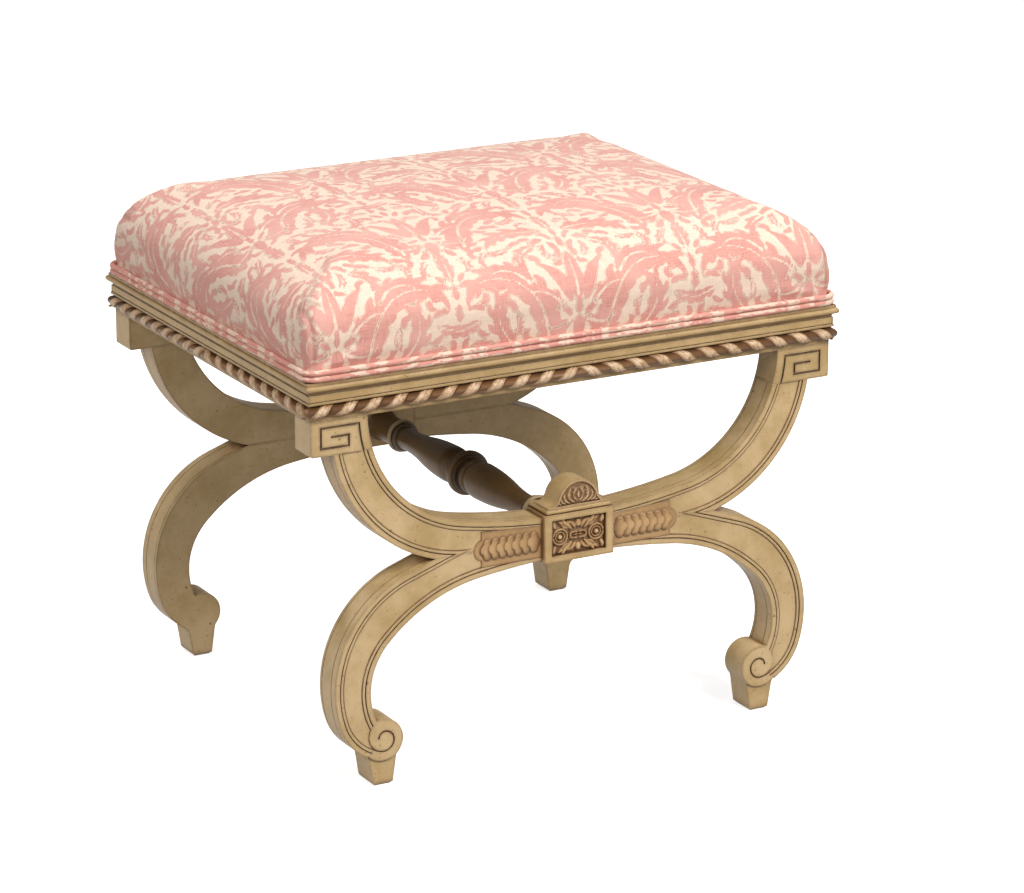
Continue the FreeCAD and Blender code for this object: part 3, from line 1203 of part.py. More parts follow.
four_corners("corner_block", corner_block)


def rounded_rectangle(outline, half_length, half_depth, radius):
    """A rectangle about the origin with four rounded corners, added to an outline."""
    points = []
    for x_sign, y_sign, along_first in (("", "-", True), ("", "", False), ("-", "", True), ("-", "-", False)):
        beside = (x_sign + "(" + half_length + " - " + radius + ")", y_sign + "(" + half_depth + ")")
        above = (x_sign + "(" + half_length + ")", y_sign + "(" + half_depth + " - " + radius + ")")
        points.extend([beside, above] if along_first else [above, beside])
    return outline.path(points, {number: (radius, 1) for number in (0, 2, 4, 6)})


# Seat deck: a plywood board on the rails, held by four screws from below.
seat_deck = doc.addObject("PartDesign::Body", "seat_deck_body")
outline = Outline(seat_deck, "seat_deck_outline", "XY_Plane", RAIL_TOP)
sketch = rounded_rectangle(outline, "sizes.seat_half_length - sizes.deck_inset",
                           "sizes.seat_half_depth - sizes.deck_inset", "sizes.deck_corner_radius")
extrude(seat_deck, "Pad", "seat_deck_pad", sketch, "sizes.deck_thickness")
screw_depth = CORNER_BLOCK_BOTTOM + " + sizes.screw_length + sizes.dowel_hole_spare - " + RAIL_TOP
for x_side, x_sign in (("right", ""), ("left", "-")):
    for y_side, y_sign in (("back", ""), ("front", "-")):
        drill(seat_deck, "deck_hole_" + y_side + "_" + x_side, "XY_Plane", RAIL_TOP,
              x_sign + "(" + screw_x + ")", y_sign + "(" + screw_y + ")", SCREW_BORE, screw_depth, True)
keep("seat_deck", seat_deck)


def seat_profile(body, name, role, half, length, inset, bottom):
    """The seat's section: upright edge, bulging side, soft shoulder and crown, all drawn in by inset."""
    outline = Outline(body, name + "_outline", role, "-(" + length + ")")
    edge = "(" + half + " + sizes.cover_thickness - sizes.cover_overlap - " + inset + ")"
    side = "(" + half + " + sizes.seat_bulge - " + inset + ")"
    swell = "(" + side + " - " + edge + ")"
    swell_rise = "(" + SEAT_BULGE + " - " + SEAT_WAIST + ")"
    swell_arc = "(" + swell + " ^ 2 + " + swell_rise + " ^ 2) / (2 * " + swell + ")"
    round_arc = "(sizes.seat_shoulder_radius - " + inset + ")"
    reach = "(" + side + " - " + round_arc + ")"
    over = "(" + SEAT_CROWN + " - " + SEAT_BULGE + " - sizes.seat_shoulder_radius)"
    drop = "((" + reach + " ^ 2 - " + over + " ^ 2) / (2 * " + over + "))"
    crown_arc = "(" + SEAT_CROWN + " - " + inset + " - " + SEAT_BULGE + " + " + drop + ")"
    share = "(" + round_arc + " / (" + crown_arc + " - " + round_arc + "))"
    touch_x = reach + " * (1 + " + share + ")"
    touch_z = SEAT_BULGE + " + " + drop + " * " + share
    sketch = outline.path([
        (edge, bottom),
        (edge, SEAT_WAIST),
        (side, SEAT_BULGE),
        (touch_x, touch_z),
        ("-" + touch_x, touch_z),
        ("-" + side, SEAT_BULGE),
        ("-" + edge, SEAT_WAIST),
        ("-" + edge, bottom),
    ], {1: (swell_arc, 1), 2: (round_arc, 1), 3: (crown_arc, 1), 4: (round_arc, 1), 5: (swell_arc, 1)})
    extrude(body, "Pad", name, sketch, "2 * (" + length + ")")


def seat_form(name, inset, bottom):
    """A solid seat form: its long section, cross section and plan, and what the three have in common."""
    far = "2 * sizes.seat_half_length"
    long_body = doc.addObject("PartDesign::Body", name + "_long")
    seat_profile(long_body, name + "_long_section", "XZ_Plane", "sizes.seat_half_length", far, inset, bottom)
    cross_body = doc.addObject("PartDesign::Body", name + "_cross")
    seat_profile(cross_body, name + "_cross_section", "YZ_Plane", "sizes.seat_half_depth", far, inset, bottom)
    plan_body = doc.addObject("PartDesign::Body", name + "_plan")
    outline = Outline(plan_body, name + "_lower_plan", "XY_Plane", bottom)
    out = " + sizes.cover_thickness - sizes.cover_overlap - " + inset
    sketch = rounded_rectangle(outline, "sizes.seat_half_length" + out, "sizes.seat_half_depth" + out,
                               "(sizes.cover_corner_radius - " + inset + ")")
    extrude(plan_body, "Pad", name + "_lower", sketch, SEAT_WAIST + " - (" + bottom + ")")
    outline = Outline(plan_body, name + "_upper_plan", "XY_Plane", SEAT_WAIST)
    sketch = rounded_rectangle(outline, "sizes.seat_half_length + sizes.seat_bulge - " + inset,
                               "sizes.seat_half_depth + sizes.seat_bulge - " + inset,
                               "(sizes.seat_corner_radius - " + inset + ")")
    extrude(plan_body, "Pad", name + "_upper", sketch, SEAT_CROWN + " - " + SEAT_WAIST)
    form = doc.addObject("Part::MultiCommon", name)
    form.Shapes = [long_body, cross_body, plan_body]
    return form


# Foam pad on the deck, and the woven cover drawn over pad and deck edge.
foam_inset = "(sizes.cover_thickness + sizes.cover_clearance)"
keep("foam_pad", seat_form("foam_form", foam_inset, RAIL_TOP + " + sizes.deck_thickness"))
seat_cover = doc.addObject("Part::Cut", "seat_cover_shell")
seat_cover.Base = seat_form("cover_outside", "0", RAIL_TOP + " + sizes.cover_lift")
seat_cover.Tool = seat_form("cover_inside", "sizes.cover_thickness", RAIL_TOP + " - sizes.cover_lift")
keep("seat_cover", seat_cover)

# Double welt: two covered cords laid around the seat's lower edge.
welt_out = "sizes.cover_thickness - sizes.cover_overlap + sizes.welt_clearance + sizes.welt_radius"
for name, level in (("welt_lower", 1), ("welt_upper", 3)):
    welt = doc.addObject("PartDesign::Body", name + "_body")
    height = ("(" + RAIL_TOP + " + " + str((level + 1) // 2) + " * sizes.welt_clearance + "
              + str(level) + " * sizes.welt_radius)")
    outline = Outline(welt, name + "_path", "XY_Plane", height)
    path = rounded_rectangle(outline, "sizes.seat_half_length + " + welt_out,
                             "sizes.seat_half_depth + " + welt_out, "sizes.welt_corner_radius")
    outline = Outline(welt, name + "_section", "XZ_Plane")
    section = outline.ring("sizes.seat_half_length + " + welt_out, height, "sizes.welt_radius")
    cord = welt.newObject("PartDesign::AdditivePipe", name + "_cord")
    cord.Profile = section
    cord.Spine = (path, ["Edge" + str(number) for number in range(1, 9)])
    keep(name, welt)

# Dust cover: a thin cloth tacked under the rails and cut around the key blocks.
dust_cover = doc.addObject("PartDesign::Body", "dust_cover_body")
outline = Outline(dust_cover, "dust_cover_outline", "XY_Plane",
                  RAIL_BOTTOM + " - sizes.dust_cover_thickness")
notch_x = "(sizes.arm_inner_reach - sizes.dust_cover_clearance)"
notch_y = "(sizes.seat_half_depth - sizes.frame_thickness - sizes.dust_cover_clearance)"
lap_x = "(" + inner_length + " + sizes.dust_cover_lap)"
lap_y = "(" + inner_depth + " + sizes.dust_cover_lap)"
sketch = outline.path([
    (notch_x, "-" + lap_y), (notch_x, "-" + notch_y), (lap_x, "-" + notch_y),
    (lap_x, notch_y), (notch_x, notch_y), (notch_x, lap_y),
    ("-" + notch_x, lap_y), ("-" + notch_x, notch_y), ("-" + lap_x, notch_y),
    ("-" + lap_x, "-" + notch_y), ("-" + notch_x, "-" + notch_y), ("-" + notch_x, "-" + lap_y),
])
extrude(dust_cover, "Pad", "dust_cover_pad", sketch, "sizes.dust_cover_thickness")
keep("dust_cover", dust_cover)


# Dowels and screws
def pin(name, radius, length, x, y, z, across=False):
    """A round pin standing on a spot given by expressions, or lying along X."""
    cylinder = doc.addObject("Part::Cylinder", name)
    cylinder.setExpression("Radius", radius)
    cylinder.setExpression("Height", length)
    cylinder.setExpression(".Placement.Base.x", x)
    cylinder.setExpression(".Placement.Base.y", y)
    cylinder.setExpression(".Placement.Base.z", z)
    if across:
        cylinder.Placement.Rotation = FreeCAD.Rotation(FreeCAD.Vector(0, 1, 0), 90)
    return cylinder


def group(label, items):
    """Several like pieces kept together as one sub-part."""
    compound = doc.addObject("Part::Compound", label + "_group")
    compound.Links = items
    return keep(label, compound)


SIDES = (("right", ""), ("left", "-"))
ENDS = (("back", "-"), ("front", ""))
half_dowel = "sizes.dowel_length / 2"
for label, places, joint in (("waist_dowels", WAIST_DOWELS, "sizes.joint_height"),
                             ("arm_dowels", ARM_DOWELS, BLOCK_BOTTOM),
                             ("rail_dowels", RAIL_DOWELS, RAIL_BOTTOM)):
    items = []
    for x_side, x_sign in SIDES:
        for y_side, y_sign in ENDS:
            for place, across in places.items():
                name = "_".join((label, place, y_side, x_side))
                items.append(pin(name, "sizes.dowel_radius", "sizes.dowel_length", x_sign + across,
                                 y_sign + "(" + MID_PLANE + ")", joint + " - " + half_dowel))
    group(label, items)
items = []
for x_side, x_sign in SIDES:
    for y_side, y_sign in ENDS:
        for member in ("arm", "leg"):
            name = "_".join(("centre_dowel", member, y_side, x_side))
            items.append(pin(name, "sizes.dowel_radius", "sizes.dowel_length",
                             x_sign + "sizes.tablet_half_width - " + half_dowel,
                             y_sign + "(" + MID_PLANE + ")", SIDE_DOWELS[member], across=True))
group("centre_dowels", items)
items = []
for x_side, x_sign in SIDES:
    for y_side, y_sign in (("back", ""), ("front", "-")):
        spot = (x_sign + "(" + screw_x + ")", y_sign + "(" + screw_y + ")")
        name = "_".join(("deck_screw", y_side, x_side))
        shank = pin(name + "_shank", "sizes.screw_radius", "sizes.screw_length", *spot, CORNER_BLOCK_BOTTOM)
        head = pin(name + "_head", "sizes.screw_head_radius", "sizes.screw_head_height", *spot,
                   CORNER_BLOCK_BOTTOM + " - sizes.screw_head_height")
        screw = doc.addObject("Part::Fuse", name)
        screw.Base = shank
        screw.Tool = head
        items.append(screw)
group("deck_screws", items)

doc.recompute()
failed = [item.Name for item in doc.Objects if "Invalid" in item.State or "Error" in item.State]
if failed:
    raise RuntimeError("features not computed: " + ", ".join(failed))
os.makedirs("parts", exist_ok=True)
for label, feature in pieces.items():
    shape = feature.Shape
    if shape.isNull() or not shape.isValid() or not shape.Solids:
        raise RuntimeError("no valid solid in " + label)
    shape.exportStep(os.path.join("parts", label + ".step"))
    print(label, round(shape.Volume), len(shape.Solids))
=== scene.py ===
from math import pi, radians

import bmesh
import bpy
import numpy as np
from mathutils import Matrix, Vector


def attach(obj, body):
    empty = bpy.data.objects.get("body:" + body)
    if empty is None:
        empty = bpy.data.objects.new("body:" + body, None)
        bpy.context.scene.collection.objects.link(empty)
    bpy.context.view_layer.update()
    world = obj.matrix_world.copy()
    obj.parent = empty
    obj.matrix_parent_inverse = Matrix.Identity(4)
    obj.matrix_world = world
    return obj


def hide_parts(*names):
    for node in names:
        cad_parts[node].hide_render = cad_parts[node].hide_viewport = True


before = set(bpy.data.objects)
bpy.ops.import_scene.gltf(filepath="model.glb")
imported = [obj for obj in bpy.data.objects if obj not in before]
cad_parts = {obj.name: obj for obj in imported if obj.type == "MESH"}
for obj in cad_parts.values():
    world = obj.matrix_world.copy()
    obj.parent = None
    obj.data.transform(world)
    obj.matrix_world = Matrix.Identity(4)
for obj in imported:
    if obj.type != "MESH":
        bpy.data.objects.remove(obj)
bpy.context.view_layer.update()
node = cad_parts


# Camera: it stands ahead of the left front corner, a little above the seat, with a long lens.
camera_data = bpy.data.cameras.new("camera")
camera_data.lens = 151.26
camera_data.sensor_width = 36
camera_data.clip_end = 60
camera = bpy.data.objects.new("camera", camera_data)
camera.matrix_world = Matrix((
    (0.877219, 0.143145, -0.458254, -1.939193),
    (-0.480091, 0.261553, -0.837319, -3.635603),
    (0, 0.954515, 0.298162, 1.533645),
    (0, 0, 0, 1)))
bpy.context.scene.collection.objects.link(camera)
bpy.context.scene.camera = camera
bpy.context.scene.view_settings.view_transform = "Standard"


class Finish:
    """A material put together node by node: numbers, colours and other nodes' results feed sockets alike."""

    def __init__(self, name, roughness=0.5):
        self.material = bpy.data.materials.new(name)
        self.material.use_nodes = True
        self.tree = self.material.node_tree
        self.shader = self.tree.nodes["Principled BSDF"]
        self.shader.inputs["Roughness"].default_value = roughness
        self.place = self.node("ShaderNodeTexCoord").outputs["Object"]

    def node(self, kind, inputs=(), **settings):
        made = self.tree.nodes.new(kind)
        for name, value in settings.items():
            setattr(made, name, value)
        for socket, value in dict(inputs).items():
            self.feed(made.inputs[socket], value)
        return made

    def feed(self, socket, value):
        if isinstance(value, bpy.types.NodeSocket):
            self.tree.links.new(value, socket)
        else:
            socket.default_value = value

    def noise(self, size, detail=3, rough=0.5, at=None, stretch=(1, 1, 1)):
        """Soft cloudy values, about 0.5, with blotches of the given size in metres."""
        at = self.node("ShaderNodeMapping", {"Vector": at or self.place, "Scale": stretch}).outputs[0]
        return self.node("ShaderNodeTexNoise", {"Vector": at, "Scale": 1 / size, "Detail": detail,
                                                "Roughness": rough}).outputs["Fac"]

    def step(self, value, low, high):
        """0 below low, 1 above high and smooth between them."""
        return self.node("ShaderNodeMapRange", {"Value": value, "From Min": low, "From Max": high},
                         interpolation_type="SMOOTHSTEP").outputs[0]

    def sum(self, kind, one, two=0.0, three=0.0):
        return self.node("ShaderNodeMath", {0: one, 1: two, 2: three}, operation=kind).outputs[0]

    def less(self, value):
        return self.sum("SUBTRACT", 1.0, value)

    def mix(self, share, one, two, kind="MIX"):
        return self.node("ShaderNodeMix", {0: share, 6: one, 7: two}, data_type="RGBA", blend_type=kind).outputs[2]

    def bump(self, height, depth, under=None):
        """A relief of the given depth in metres, on top of an earlier one."""
        inputs = {"Height": height, "Distance": depth, "Strength": 1}
        if under:
            inputs["Normal"] = under
        return self.node("ShaderNodeBump", inputs).outputs[0]

    def done(self, colour=None, normal=None, roughness=None):
        for name, value in (("Base Color", colour), ("Normal", normal), ("Roughness", roughness)):
            if value is not None:
                self.feed(self.shader.inputs[name], value)
        return self.material


def tone(red, green, blue):
    """A screen colour, 0 to 255, as the light that a shader works in."""
    return [((c / 255 + 0.055) / 1.055) ** 2.4 if c > 10 else c / 3295 for c in (red, green, blue)] + [1]


def piece(name, points, faces, material, smooth=True):
    """A mesh object at the origin from points and faces."""
    mesh = bpy.data.meshes.new(name)
    mesh.from_pydata([tuple(p) for p in points], [], [tuple(f) for f in faces])
    mesh.polygons.foreach_set("use_smooth", [smooth] * len(mesh.polygons))
    mesh.materials.append(material)
    made = bpy.data.objects.new(name, mesh)
    bpy.context.scene.collection.objects.link(made)
    return made


# Studio: a white sweep on which the stool throws a soft shadow, and three large soft lights.
# The floor shows as white where no shadow falls, and throws little light back up.
sweep = Finish("studio_sweep", roughness=0.9)
rays = sweep.node("ShaderNodeLightPath")
seen = sweep.sum("MAXIMUM", rays.outputs["Is Camera Ray"], rays.outputs["Is Glossy Ray"])
pale = sweep.mix(sweep.noise(0.4), tone(236, 236, 236), tone(240, 240, 240))
sweep.done(colour=sweep.mix(seen, tone(128, 124, 118), pale))
glow = sweep.node("ShaderNodeEmission", {"Color": (1, 1, 1, 1), "Strength": sweep.sum("MULTIPLY", seen, 0.7)})
both = sweep.node("ShaderNodeAddShader", {0: sweep.shader.outputs[0], 1: glow.outputs[0]})
sweep.tree.links.new(both.outputs[0], sweep.tree.nodes["Material Output"].inputs[0])
ring = [(12 * np.cos(a), 12 * np.sin(a), 0) for a in np.linspace(0, 2 * pi, 48, endpoint=False)]
floor = piece("studio_floor", ring, [range(48)], sweep.material, smooth=False)

world = bpy.data.worlds.new("studio")
world.use_nodes = True
bpy.context.scene.world = world
sky = world.node_tree.nodes["Background"]
sky.inputs["Color"].default_value = (1, 0.985, 0.965, 1)
sky.inputs["Strength"].default_value = 0.27
white = world.node_tree.nodes.new("ShaderNodeBackground")
white.inputs["Strength"].default_value = 1
sky_rays = world.node_tree.nodes.new("ShaderNodeLightPath")
sky_mix = world.node_tree.nodes.new("ShaderNodeMixShader")
world.node_tree.links.new(sky_rays.outputs["Is Camera Ray"], sky_mix.inputs[0])
world.node_tree.links.new(sky.outputs[0], sky_mix.inputs[1])
world.node_tree.links.new(white.outputs[0], sky_mix.inputs[2])
world.node_tree.links.new(sky_mix.outputs[0], world.node_tree.nodes["World Output"].inputs[0])

for name, spot, width, power in (("key_light", (0.9, -2.9, 2.9), 1.6, 118),
                                 ("side_light", (-3.2, -1.0, 2.3), 1.6, 50),
                                 ("top_light", (0.2, 0.2, 3.4), 2.0, 34)):
    lamp = bpy.data.lights.new(name, "AREA")
    lamp.size, lamp.energy, lamp.color = width, power, (1, 0.985, 0.96)
    stand = bpy.data.objects.new(name, lamp)
    stand.matrix_world = Matrix.Translation(spot) @ (
        (Vector(spot) - Vector((0, 0, 0.3))).to_track_quat("Z", "Y").to_matrix().to_4x4())
    bpy.context.scene.collection.objects.link(stand)


# The two X frames: four curved arms over four curved legs, sawn from beech, run with beaded edges,
# gessoed and painted antique cream, then glazed brown in the grooves and rubbed through on the edges.
def aged_paint(name, face, deep, worn, groove=0.0045, wear=0.5, fleck=1.0, relief=False, band=None):
    """Paint of the face colour over deep glaze in the hollows and a worn tone on the edges, with painted shade on what
    faces down.
    relief reads how far a carving stands up; band paints a cream ring between two distances from the middle."""
    paint = Finish(name, roughness=0.5)
    facing = paint.node("ShaderNodeNewGeometry").outputs["Normal"]
    rounded = paint.node("ShaderNodeBevel", {"Radius": 0.0009}, samples=4).outputs[0]
    cloud = paint.noise(0.05, 6, 0.62)
    colour = paint.mix(paint.step(cloud, 0.3, 0.7), tone(*[c * f for c, f in zip(face, (0.89, 0.86, 0.76))]),
                       tone(*[min(255, c * f) for c, f in zip(face, (1.05, 1.05, 1.07))]))
    grime = paint.step(paint.noise(0.018, 6, 0.75), 0.55, 0.78)
    colour = paint.mix(paint.sum("MULTIPLY", grime, 0.45), colour, tone(*[(a * 2 + b) / 3 for a, b in zip(face, deep)]))
    if band:
        out = paint.sum("ABSOLUTE", paint.node("ShaderNodeSeparateXYZ", {0: paint.place}).outputs["Y"])
        ringed = paint.sum("MULTIPLY", paint.step(out, band[0], band[0] + 0.0004),
                           paint.less(paint.step(out, band[1], band[1] + 0.0004)))
        colour = paint.mix(paint.sum("MULTIPLY", ringed, 0.9), colour, tone(202, 174, 132))
    # Glaze wiped off the open faces: a wash round every hollow, and a dark line in the grooves.
    near = paint.node("ShaderNodeAmbientOcclusion", {"Distance": 0.009}, samples=12).outputs["AO"]
    wide = paint.node("ShaderNodeBevel", {"Radius": 0.0042}, samples=6).outputs[0]
    beside = paint.node("ShaderNodeVectorMath", {0: wide, 1: facing}, operation="DOT_PRODUCT").outputs["Value"]
    wash = paint.sum("MAXIMUM", paint.less(paint.step(near, 0.62, 0.985)), paint.less(paint.step(beside, 0.86, 0.998)))
    uneven = paint.step(paint.noise(0.014, 4, 0.6), 0.25, 0.65)
    wash = paint.sum("MULTIPLY", wash, paint.sum("MULTIPLY_ADD", uneven, 0.7, 0.3))
    colour = paint.mix(wash, colour, tone(*[a * 0.45 + b * 0.55 for a, b in zip(face, deep)]))
    open_sky = paint.node("ShaderNodeAmbientOcclusion", {"Distance": groove}, samples=8).outputs["AO"]
    hollow = paint.less(paint.step(open_sky, 0.25, 0.82))
    colour = paint.mix(paint.sum("MULTIPLY", hollow, 0.9), colour, tone(*deep))
    # Painted shade: what faces down is darkened to a browner tone, standing in for the shadow under the seat and
    # frames.
    down = paint.node("ShaderNodeSeparateXYZ", {0: facing}).outputs["Z"]
    under = paint.less(paint.step(down, -0.75, 0.0))
    colour = paint.mix(paint.sum("MULTIPLY", under, 0.5), colour,
                       tone(*[a * 0.5 + b * 0.5 for a, b in zip(face, deep)]))
    if relief:
        raised = paint.node("ShaderNodeAttribute", attribute_name="raised").outputs["Fac"]
        low = paint.less(paint.step(raised, 0.02, 0.62))
        colour = paint.mix(paint.sum("MULTIPLY", low, 0.85), colour, tone(*deep))
        crest = paint.sum("MULTIPLY", paint.step(raised, 0.68, 0.95), paint.step(paint.noise(0.006, 4, 0.7), 0.35, 0.6))
        colour = paint.mix(paint.sum("MULTIPLY", crest, wear), colour, tone(*worn))
    # Edges rubbed through to pale ground, with chips down to the wood.
    straight = paint.node("ShaderNodeVectorMath", {0: rounded, 1: facing}, operation="DOT_PRODUCT").outputs["Value"]
    edge = paint.less(paint.step(straight, 0.82, 0.99))
    edge = paint.sum("MULTIPLY", edge, paint.less(hollow))
    rub = paint.sum("MULTIPLY", edge, paint.step(paint.noise(0.012, 5, 0.75), 0.3, 0.58))
    colour = paint.mix(paint.sum("MULTIPLY", rub, wear), colour, tone(*worn))
    chip = paint.sum("MULTIPLY", edge, paint.step(paint.noise(0.008, 6, 0.8, stretch=(1, 1.4, 0.8)), 0.57, 0.64))
    colour = paint.mix(paint.sum("MULTIPLY", chip, 0.75), colour,
                       tone(*[(a + b) / 2 for a, b in zip((140, 100, 60), deep)]))
    # Brown flecks, spattered on, many fine and a few large.
    spots = 0.0
    for count, share, size in ((420, 0.74, 0.20), (210, 0.80, 0.17), (75, 0.84, 0.11)):
        drops = paint.node("ShaderNodeTexVoronoi", {"Vector": paint.place, "Scale": count, "Randomness": 1},
                           feature="F1")
        luck = paint.node("ShaderNodeSeparateColor", {0: drops.outputs["Color"]}).outputs[0]
        reach = paint.sum("MULTIPLY", luck, size * fleck)
        dot = paint.less(paint.step(paint.sum("SUBTRACT", drops.outputs["Distance"], reach), -0.03, 0.03))
        spots = paint.sum("MAXIMUM", spots, paint.sum("MULTIPLY", dot, paint.step(luck, share, share + 0.05)))
    colour = paint.mix(paint.sum("MULTIPLY", spots, 0.7), colour, tone(118, 84, 50))
    brushed = paint.noise(0.004, 4, 0.6, stretch=(1, 1, 0.35))
    normal = paint.bump(brushed, 0.00025, rounded)
    normal = paint.bump(paint.sum("MULTIPLY", chip, -1.0), 0.0003, normal)
    return paint.done(colour, normal, paint.sum("MULTIPLY_ADD", cloud, 0.35, 0.3))


cream_paint = aged_paint("aged_cream_paint", (208, 180, 134), (112, 72, 32), (234, 212, 178), groove=0.006, wear=0.85)
for end in ("front", "back"):
    for hand in ("right", "left"):
        for member in ("arm", "leg"):
            node[f"{member}_{end}_{hand}"].data.materials.clear()
            node[f"{member}_{end}_{hand}"].data.materials.append(cream_paint)


# Key blocks: square blocks glued on the arm tops, with a Greek key cut into the outer face.
# They have the frames' cream paint; the key's channel is filled with dark glaze.
key_paint = aged_paint("key_block_paint", (204, 176, 130), (88, 58, 28), (232, 210, 176), wear=0.8)
for end in ("front", "back"):
    for hand in ("right", "left"):
        node[f"key_block_{end}_{hand}"].data.materials.clear()
        node[f"key_block_{end}_{hand}"].data.materials.append(key_paint)


# Centre blocks and crests: the tablet at the crossing of each X and the domed crest on its cap,
# painted cream, with a leaf and scroll rosette in the tablet and curling leaves in the crest's sunk field,
# carved in low relief and left full of brown glaze.
carved_paint = aged_paint("block_paint", (202, 172, 124), (104, 66, 30), (234, 210, 174), groove=0.008, wear=0.85)
relief_paint = aged_paint("carved_relief_paint", (204, 166, 118), (112, 74, 38), (236, 208, 172), groove=0.004,
                          wear=0.7, fleck=0.5, relief=True)
for name in ("centre_block_front", "centre_block_back", "crest_front", "crest_back"):
    node[name].data.materials.clear()
    node[name].data.materials.append(carved_paint)


def stem(start, heading, length, curl, tighten=1.0, steps=28):
    """Points along a line that sets off at a heading, in degrees, and turns by curl over its length."""
    t = (np.arange(steps) + 0.5) / steps
    turn = np.radians(heading) + np.radians(curl) * t ** (1 + tighten)
    return np.cumsum(np.c_[np.cos(turn), np.sin(turn)] * length / steps, 0) + np.array(start), turn


def blade(start, heading, length, width, height, curl=0, tighten=0.6):
    """A carved leaf or stem in millimetres, as gouge marks: across, up, radius and height."""
    spots, _ = stem(start, heading, length, curl, tighten, max(8, int(length * 2.5)))
    t = np.linspace(0, 1, len(spots))
    swell = 0.35 + 0.65 * np.sin(pi * t ** 0.8) ** 0.8
    return np.c_[spots, width * swell, height * (0.55 + 0.45 * swell)]


def loop(centre, radius, first, last, width, height):
    """A carved ring, or part of one, from one angle to another."""
    turn = np.radians(np.linspace(first, last, max(6, int(abs(last - first) * radius / 40))))
    return np.c_[centre[0] + radius * np.cos(turn), centre[1] + radius * np.sin(turn),
                 np.full(len(turn), width), np.full(len(turn), height)]


def set_raised(made, values):
    """Says for each point how far it stands up, for the glaze."""
    made.data.attributes.new("raised", "FLOAT", "POINT").data.foreach_set("value", values)


def carving(name, low, high, inside, marks, floor, deepest, body_of):
    """A closed slab in the XZ plane that faces -Y, its front raised by the marks above the floor, in millimetres."""
    step = 0.5
    xs, zs = np.arange(low[0], high[0] + step / 2, step), np.arange(low[1], high[1] + step / 2, step)
    gx, gz = [g.ravel() for g in np.meshgrid(xs, zs)]
    height = np.zeros(len(gx))
    for x, z, radius, tall in marks:
        d = np.hypot(gx - x, gz - z) / radius
        height = np.maximum(height, tall * np.sqrt(np.clip(1 - d * d, 0, 1)))
    gx, gz, kept = inside(gx, gz)
    wide = len(xs)
    index, points, raised, faces = {}, [], [], []
    cells = [(j * wide + i, j * wide + i + 1, (j + 1) * wide + i + 1, (j + 1) * wide + i)
             for j in range(len(zs) - 1) for i in range(wide - 1)]
    cells = [cell for cell in cells if all(kept[k] for k in cell)]
    for cell in cells:
        for k in cell:
            if k not in index:
                index[k] = len(points)
                points += [(gx[k], -floor - height[k], gz[k]), (gx[k], -deepest, gz[k])]
                raised += [height[k] / marks[:, 3].max(), 0]
    edges = {}
    for a, b, c, d in cells:
        faces += [(index[a], index[b], index[c], index[d]), (index[a] + 1, index[d] + 1, index[c] + 1, index[b] + 1)]
        for one, two in ((a, b), (b, c), (c, d), (d, a)):
            edges[(one, two)] = True
    for one, two in edges:
        if (two, one) not in edges:
            faces.append((index[two], index[one], index[one] + 1, index[two] + 1))
    made = piece(name, np.array(points) / 1000, faces, body_of)
    set_raised(made, raised)
    return made


def mirrored(marks, sides=(1, -1), ends=(1,)):
    return np.concatenate([marks * [x, z, 1, 1] for x in sides for z in ends])


quarter = np.concatenate([
    blade((0, 3.0), 0, 6, 1.15, 3.0), loop((6, 0), 3.0, 90, 0, 1.15, 3.0), blade((0, 0), 0, 5, 1.0, 2.2),
    blade((0.6, 8.6), 90, 6.5, 2.9, 3.4), blade((3.2, 7.0), 66, 10.5, 2.3, 3.0, -55),
    blade((6.6, 6.0), 40, 11, 2.2, 3.0, 60),
    blade((9.6, 9.5), 30, 13.5, 2.5, 3.1, 62), blade((11, 7.6), 12, 9, 1.7, 2.6, 60),
    blade((24.5, 9.0), 48, 8.5, 2.5, 3.1, 70),
    blade((17.5, 11.5), 62, 6.5, 1.9, 2.6, -50), loop((19.8, 0), 7.6, 12, 178, 1.3, 2.9),
    loop((19.8, 0), 4.9, 0, 180, 1.0, 2.5),
    blade((19.8, 0), 0, 0.6, 3.0, 3.9), blade((27.6, 0.0), 90, 4, 1.4, 2.6)])
rosette_marks = mirrored(quarter, ends=(1, -1)) + [0, 220, 0, 0]

crest_half = np.concatenate([
    blade((0.9, 2.6), 38, 8.5, 1.1, 1.7, 62), blade((5.4, 8.6), 96, 8.5, 1.1, 1.7, 70),
    blade((0, 5.6), 90, 7.0, 1.6, 1.7),
    blade((3.2, 1.6), 20, 16.5, 1.2, 1.8, 112), blade((7.2, 15.8), -14, 7, 1.1, 1.7, -190),
    blade((8.6, 1.4), 14, 12.5, 1.15, 1.7, 112), blade((14.2, 10.4), -16, 5, 1.0, 1.6, -180),
    blade((13.2, 1.4), 8, 9.5, 1.1, 1.6, 104),
    blade((2.9, 12.2), 84, 5.6, 1.0, 1.6, -80), blade((9.0, 7.2), 82, 5.6, 1.1, 1.6, -60),
    blade((17.6, 1.2), 4, 6, 0.9, 1.5, 40)])
crest_marks = mirrored(crest_half) + [0, 251.2, 0, 0]


def in_tablet(x, z):
    return x, z, np.ones(len(x), bool)


def in_crest(x, z):
    """Keeps what lies in the crest's sunk field, and draws the cells on its edge out to the rim."""
    up = np.clip(z, 251.2, 272.8)
    dome = np.sqrt(np.maximum(19.8 ** 2 - (up - 253) ** 2, 0))
    sweep = 32.3 - np.sqrt(np.maximum(14.0 ** 2 - (262.3 - up) ** 2, 0))
    half = np.where(up > 258.2, dome, sweep)
    return np.clip(x, -half, half), z, (np.abs(x) < half + 0.45) & (z < 272.9)


